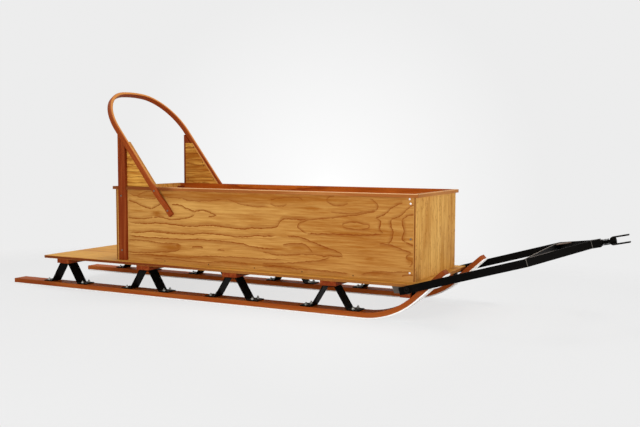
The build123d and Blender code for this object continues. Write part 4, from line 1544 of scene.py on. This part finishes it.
# how far inside a side panel's outer face the painted shade of the inside starts, and half the thickness of an
# end panel
INSIDE_SHADE_INSET = 0.004
HALF_PLY = 0.0063
# where the side rims' painted highlight starts, from the rear of the box; behind it they are painted darker as
# shade
HIGHLIGHT_REACH = 0.36
# how far inside the drawbar arms' outer faces the pivots turn black
ARM_SKIN = 0.0003


class Finishes:
    """All materials of the sled."""

    def __init__(self, datum: Datum) -> None:
        """Make each finish once.

        Args:
            datum: where the box stands, which several finishes are placed by.
        """
        wood = {"pale": PLY_PALE, "deep": PLY_DEEP, "line": PLY_LINE}
        drawn = DrawnFigure(datum.rear, datum.floor, NEAR_LINES, NEAR_PATCHES)
        # the side panels' faces inside the box take painted shade
        board = {"edge": PLY_EDGE, "inside": datum.side - INSIDE_SHADE_INSET}
        self.bend = bend = Bend(start=datum.rear + TOE_REACH, radius=TOE_RADIUS, sweep=TOE_SWEEP)
        self.near_side = Plywood("side_plywood_right", Grain.ALONG_X_UPRIGHT, seed=4.2, figure=drawn,
                                 rings=17.0, waver=4.0, **board, **wood).make()
        self.far_side = Plywood("side_plywood_left", Grain.ALONG_X_UPRIGHT, seed=9.7, **board, **wood).make()
        end = {"rings": 17.0, "waver": 3.0, "ripple": 2.1, "stretch": 1.9, "boldness": 0.8, "streaks": 2.2,
               "pale": (0.80, 0.46, 0.12), "deep": (0.48, 0.19, 0.02), "line": (0.38, 0.13, 0.012),
               "edge": PLY_EDGE}
        self.front_ply = Plywood("front_plywood", Grain.ALONG_Z_FACING_X, seed=2.1,
                                 core=datum.front - HALF_PLY, **end).make()
        self.rear_ply = Plywood("rear_plywood", Grain.ALONG_Z_FACING_X, seed=7.9,
                                core=datum.rear + HALF_PLY, **end).make()
        self.gusset = Plywood("gusset_plywood", Grain.ALONG_X_UPRIGHT, seed=1.3, rings=30.0, waver=5.0,
                              ripple=1.2, boldness=1.0, streaks=3.6, pale=(0.74, 0.385, 0.07),
                              deep=(0.40, 0.13, 0.012), line=(0.22, 0.045, 0.002), edge=PLY_EDGE).make()
        self.platform = Plywood("platform_plywood", Grain.ALONG_X_FLAT, seed=6.4, rings=14.0, boldness=0.7,
                                pale=(0.74, 0.40, 0.08), deep=(0.48, 0.18, 0.02), line=(0.30, 0.08, 0.006),
                                edge=EDGE_STAIN, front_edge=(0.40, 0.15, 0.03)).make()
        # the rims carry a pale painted highlight on their rounded top edges, and the side rims painted shade at
        # the rear
        self.rim_wood = StainedWood("stained_wood_rim", Grain.ALONG_X_FLAT, base=(0.40, 0.125, 0.026),
                                    pale=(0.55, 0.24, 0.07), wear_and_highlight=0.75,
                                    highlight_from=datum.rear + HIGHLIGHT_REACH).make()
        self.end_rim_wood = StainedWood("stained_wood_end_rim", Grain.ALONG_Y_FLAT, base=(0.46, 0.175, 0.04),
                                        pale=(0.60, 0.28, 0.08), wear_and_highlight=0.4).make()
        self.long_wood = StainedWood("stained_wood_lengthwise", Grain.ALONG_X_FLAT).make()
        self.cross_wood = StainedWood("stained_wood_crosswise", Grain.ALONG_Y_FLAT).make()
        self.upright_wood = StainedWood("stained_wood_upright", Grain.ALONG_Z_FACING_Y).make()
        self.packer_wood = StainedWood("stained_wood_packer", Grain.ALONG_Z_FACING_Y, base=(0.55, 0.24, 0.06),
                                       pale=(0.72, 0.42, 0.15)).make()
        runner = {"bend": bend, "pale": (0.46, 0.14, 0.025), "toe": 0.36}
        self.near_runner = StainedWood("stained_wood_runner_right", Grain.ALONG_X_FLAT,
                                       base=(0.335, 0.068, 0.009), **runner).make()
        # painted light: the far runner's stain is lighter than the near one's, to make up for the shade under the
        # deck
        self.lightened_far_runner = StainedWood("stained_wood_runner_left", Grain.ALONG_X_FLAT, seed=3.0,
                                      base=(0.44, 0.092, 0.012), **runner).make()
        # the handlebar is painted lighter on faces that look up and forward, with a painted highlight, above the
        # box only
        self.bar_wood = BentBarWood("stained_wood_handlebar", Grain.ALONG_X_FLAT,
                                    foot=datum.rear + HOOP["foot_reach"], top=datum.top, gloss=0.06, wear_and_highlight=0.5,
                                    lit_colour=(0.62, 0.27, 0.06), lit_from=datum.top,
                                    base=(0.27, 0.045, 0.006)).make()
        # the black paint carries a painted highlight on faces that look up
        self.black = Steel("black_paint", (0.0025, 0.002, 0.0016), (0.055, 0.045, 0.037), 0.0, 0.5, wear=0.05,
                           top_highlight=0.7, sheen=0.03).make()
        self.scuffed = Steel("scuffed_black", (0.085, 0.072, 0.06), (0.20, 0.18, 0.155), 0.0, 0.55, wear=0.6,
                             sheen=0.06, outer=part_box("drawbar_arm_left")[1].y - ARM_SKIN).make()
        # the crossbar's paint carries a strong painted highlight on faces that look up
        self.crossbar = Steel("crossbar_paint", (0.004, 0.003, 0.0025), (0.26, 0.22, 0.18), 0.0, 0.5, wear=0.03,
                              top_highlight=1.0, sheen=0.04).make()
        self.bare = Steel("bare_plate", (0.17, 0.12, 0.09), (0.28, 0.22, 0.17), 0.1, 0.5, wear=0.4,
                          sheen=0.2).make()
        self.brown_steel = Steel("brown_steel", (0.10, 0.045, 0.015), (0.05, 0.022, 0.008), 0.0, 0.6, wear=0.5,
                                 sheen=0.1).make()
        self.bright_zinc = Steel("bright_zinc", (0.92, 0.90, 0.90), (0.7, 0.66, 0.66), 0.0, 0.4, wear=0.2).make()
        self.dull_zinc = Steel("dull_zinc", (0.17, 0.14, 0.11), (0.09, 0.07, 0.05), 0.2, 0.55, wear=0.5,
                               sheen=0.3).make()
        self.bead = Steel("weld_bead", (0.10, 0.088, 0.075), (0.2, 0.17, 0.14), 0.3, 0.5, sheen=0.3).make()
        self.zinc = Steel("zinc_plate", (0.34, 0.34, 0.31), (0.18, 0.17, 0.145), 0.6, 0.42, wear=0.5).make()
        self.plastic = SlickPlastic("white_plastic", (0.96, 0.95, 0.92), (0.7, 0.67, 0.62), bend).make()

    def dress(self) -> None:
        """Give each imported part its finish."""
        table = (
            # how the part's name starts, its finish
            ("deck", self.platform),
            ("side_panel_right", self.near_side),
            ("side_panel_left", self.far_side),
            ("front_panel", self.front_ply),
            ("rear_panel", self.rear_ply),
            ("gusset", self.gusset),
            ("rim_left", self.rim_wood),
            ("rim_right", self.rim_wood),
            ("rim_rear", self.cross_wood),
            ("rim", self.end_rim_wood),
            ("corner_cleat", self.upright_wood),
            ("floor_cleat", self.long_wood),
            ("post", self.upright_wood),
            ("packer_right", self.packer_wood),
            ("packer", self.upright_wood),
            ("handlebar", self.bar_wood),
            ("crosspiece", self.cross_wood),
            ("front_bolster", self.cross_wood),
            ("runner_shoe", self.plastic),
            ("runner_left", self.lightened_far_runner),
            ("runner_right", self.near_runner),
            ("strut", self.black),
            ("toe_bracket", self.black),
            ("drawbar_mount", self.scuffed),
            ("drawbar_crossbar", self.crossbar),
            ("drawbar", self.black),
            ("hitch_nut", self.zinc),
            ("hitch", self.black),
        )
        for name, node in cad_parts.items():
            finish = next(material for start, material in table if name.startswith(start))
            node.data.materials.clear()
            node.data.materials.append(finish)
        LOG.info("finishes on %d parts", len(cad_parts))


# the drawbar's pivots, from the rear of the box and from the ground
PIVOT_REACH = 1.818
PIVOT_HEIGHT = 0.1645
# lean of the hitch in degrees, and half the length and the outer radius of its spring
HITCH_LEAN = 12.5
SPRING_HALF = 0.0165
SPRING_RADIUS = 0.015
# the camera, from the rear of the box, and which way its view's right and top point
CAMERA_REACH = 3.17399
CAMERA_Y = -3.95773
CAMERA_HEIGHT = 0.80230
CAMERA_RIGHT = (0.89133494, 0.45333363, 0.00326178)
CAMERA_UP = (-0.0361939, 0.06398803, 0.99729411)


def main() -> None:
    """Build the sled's looks in order."""
    logging.basicConfig(level=logging.INFO, format="%(name)s: %(message)s")
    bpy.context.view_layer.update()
    datum = Datum.read()
    finishes = Finishes(datum)
    finishes.dress()
    hardware = Hardware(finishes.zinc, finishes.brown_steel, finishes.dull_zinc,
                        finishes.bright_zinc, finishes.black)
    BoxFastenings(datum, hardware).build()
    RunnerFastenings(hardware, finishes.bend).build()
    DrawbarFittings((datum.rear + PIVOT_REACH, PIVOT_HEIGHT)).build(hardware, finishes.bead, finishes.bare)
    hardware.tidy()
    low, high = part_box("hitch_spring")
    lean = math.radians(HITCH_LEAN)
    middle = (low + high) / 2
    half = Vector((math.cos(lean), 0.0, math.sin(lean))) * SPRING_HALF
    HitchSpring(finishes.black).build(middle - half, middle + half, SPRING_RADIUS)
    Studio((datum.rear + CAMERA_REACH, CAMERA_Y, CAMERA_HEIGHT), CAMERA_RIGHT, CAMERA_UP).build()


if __name__ == "__main__":
    main()
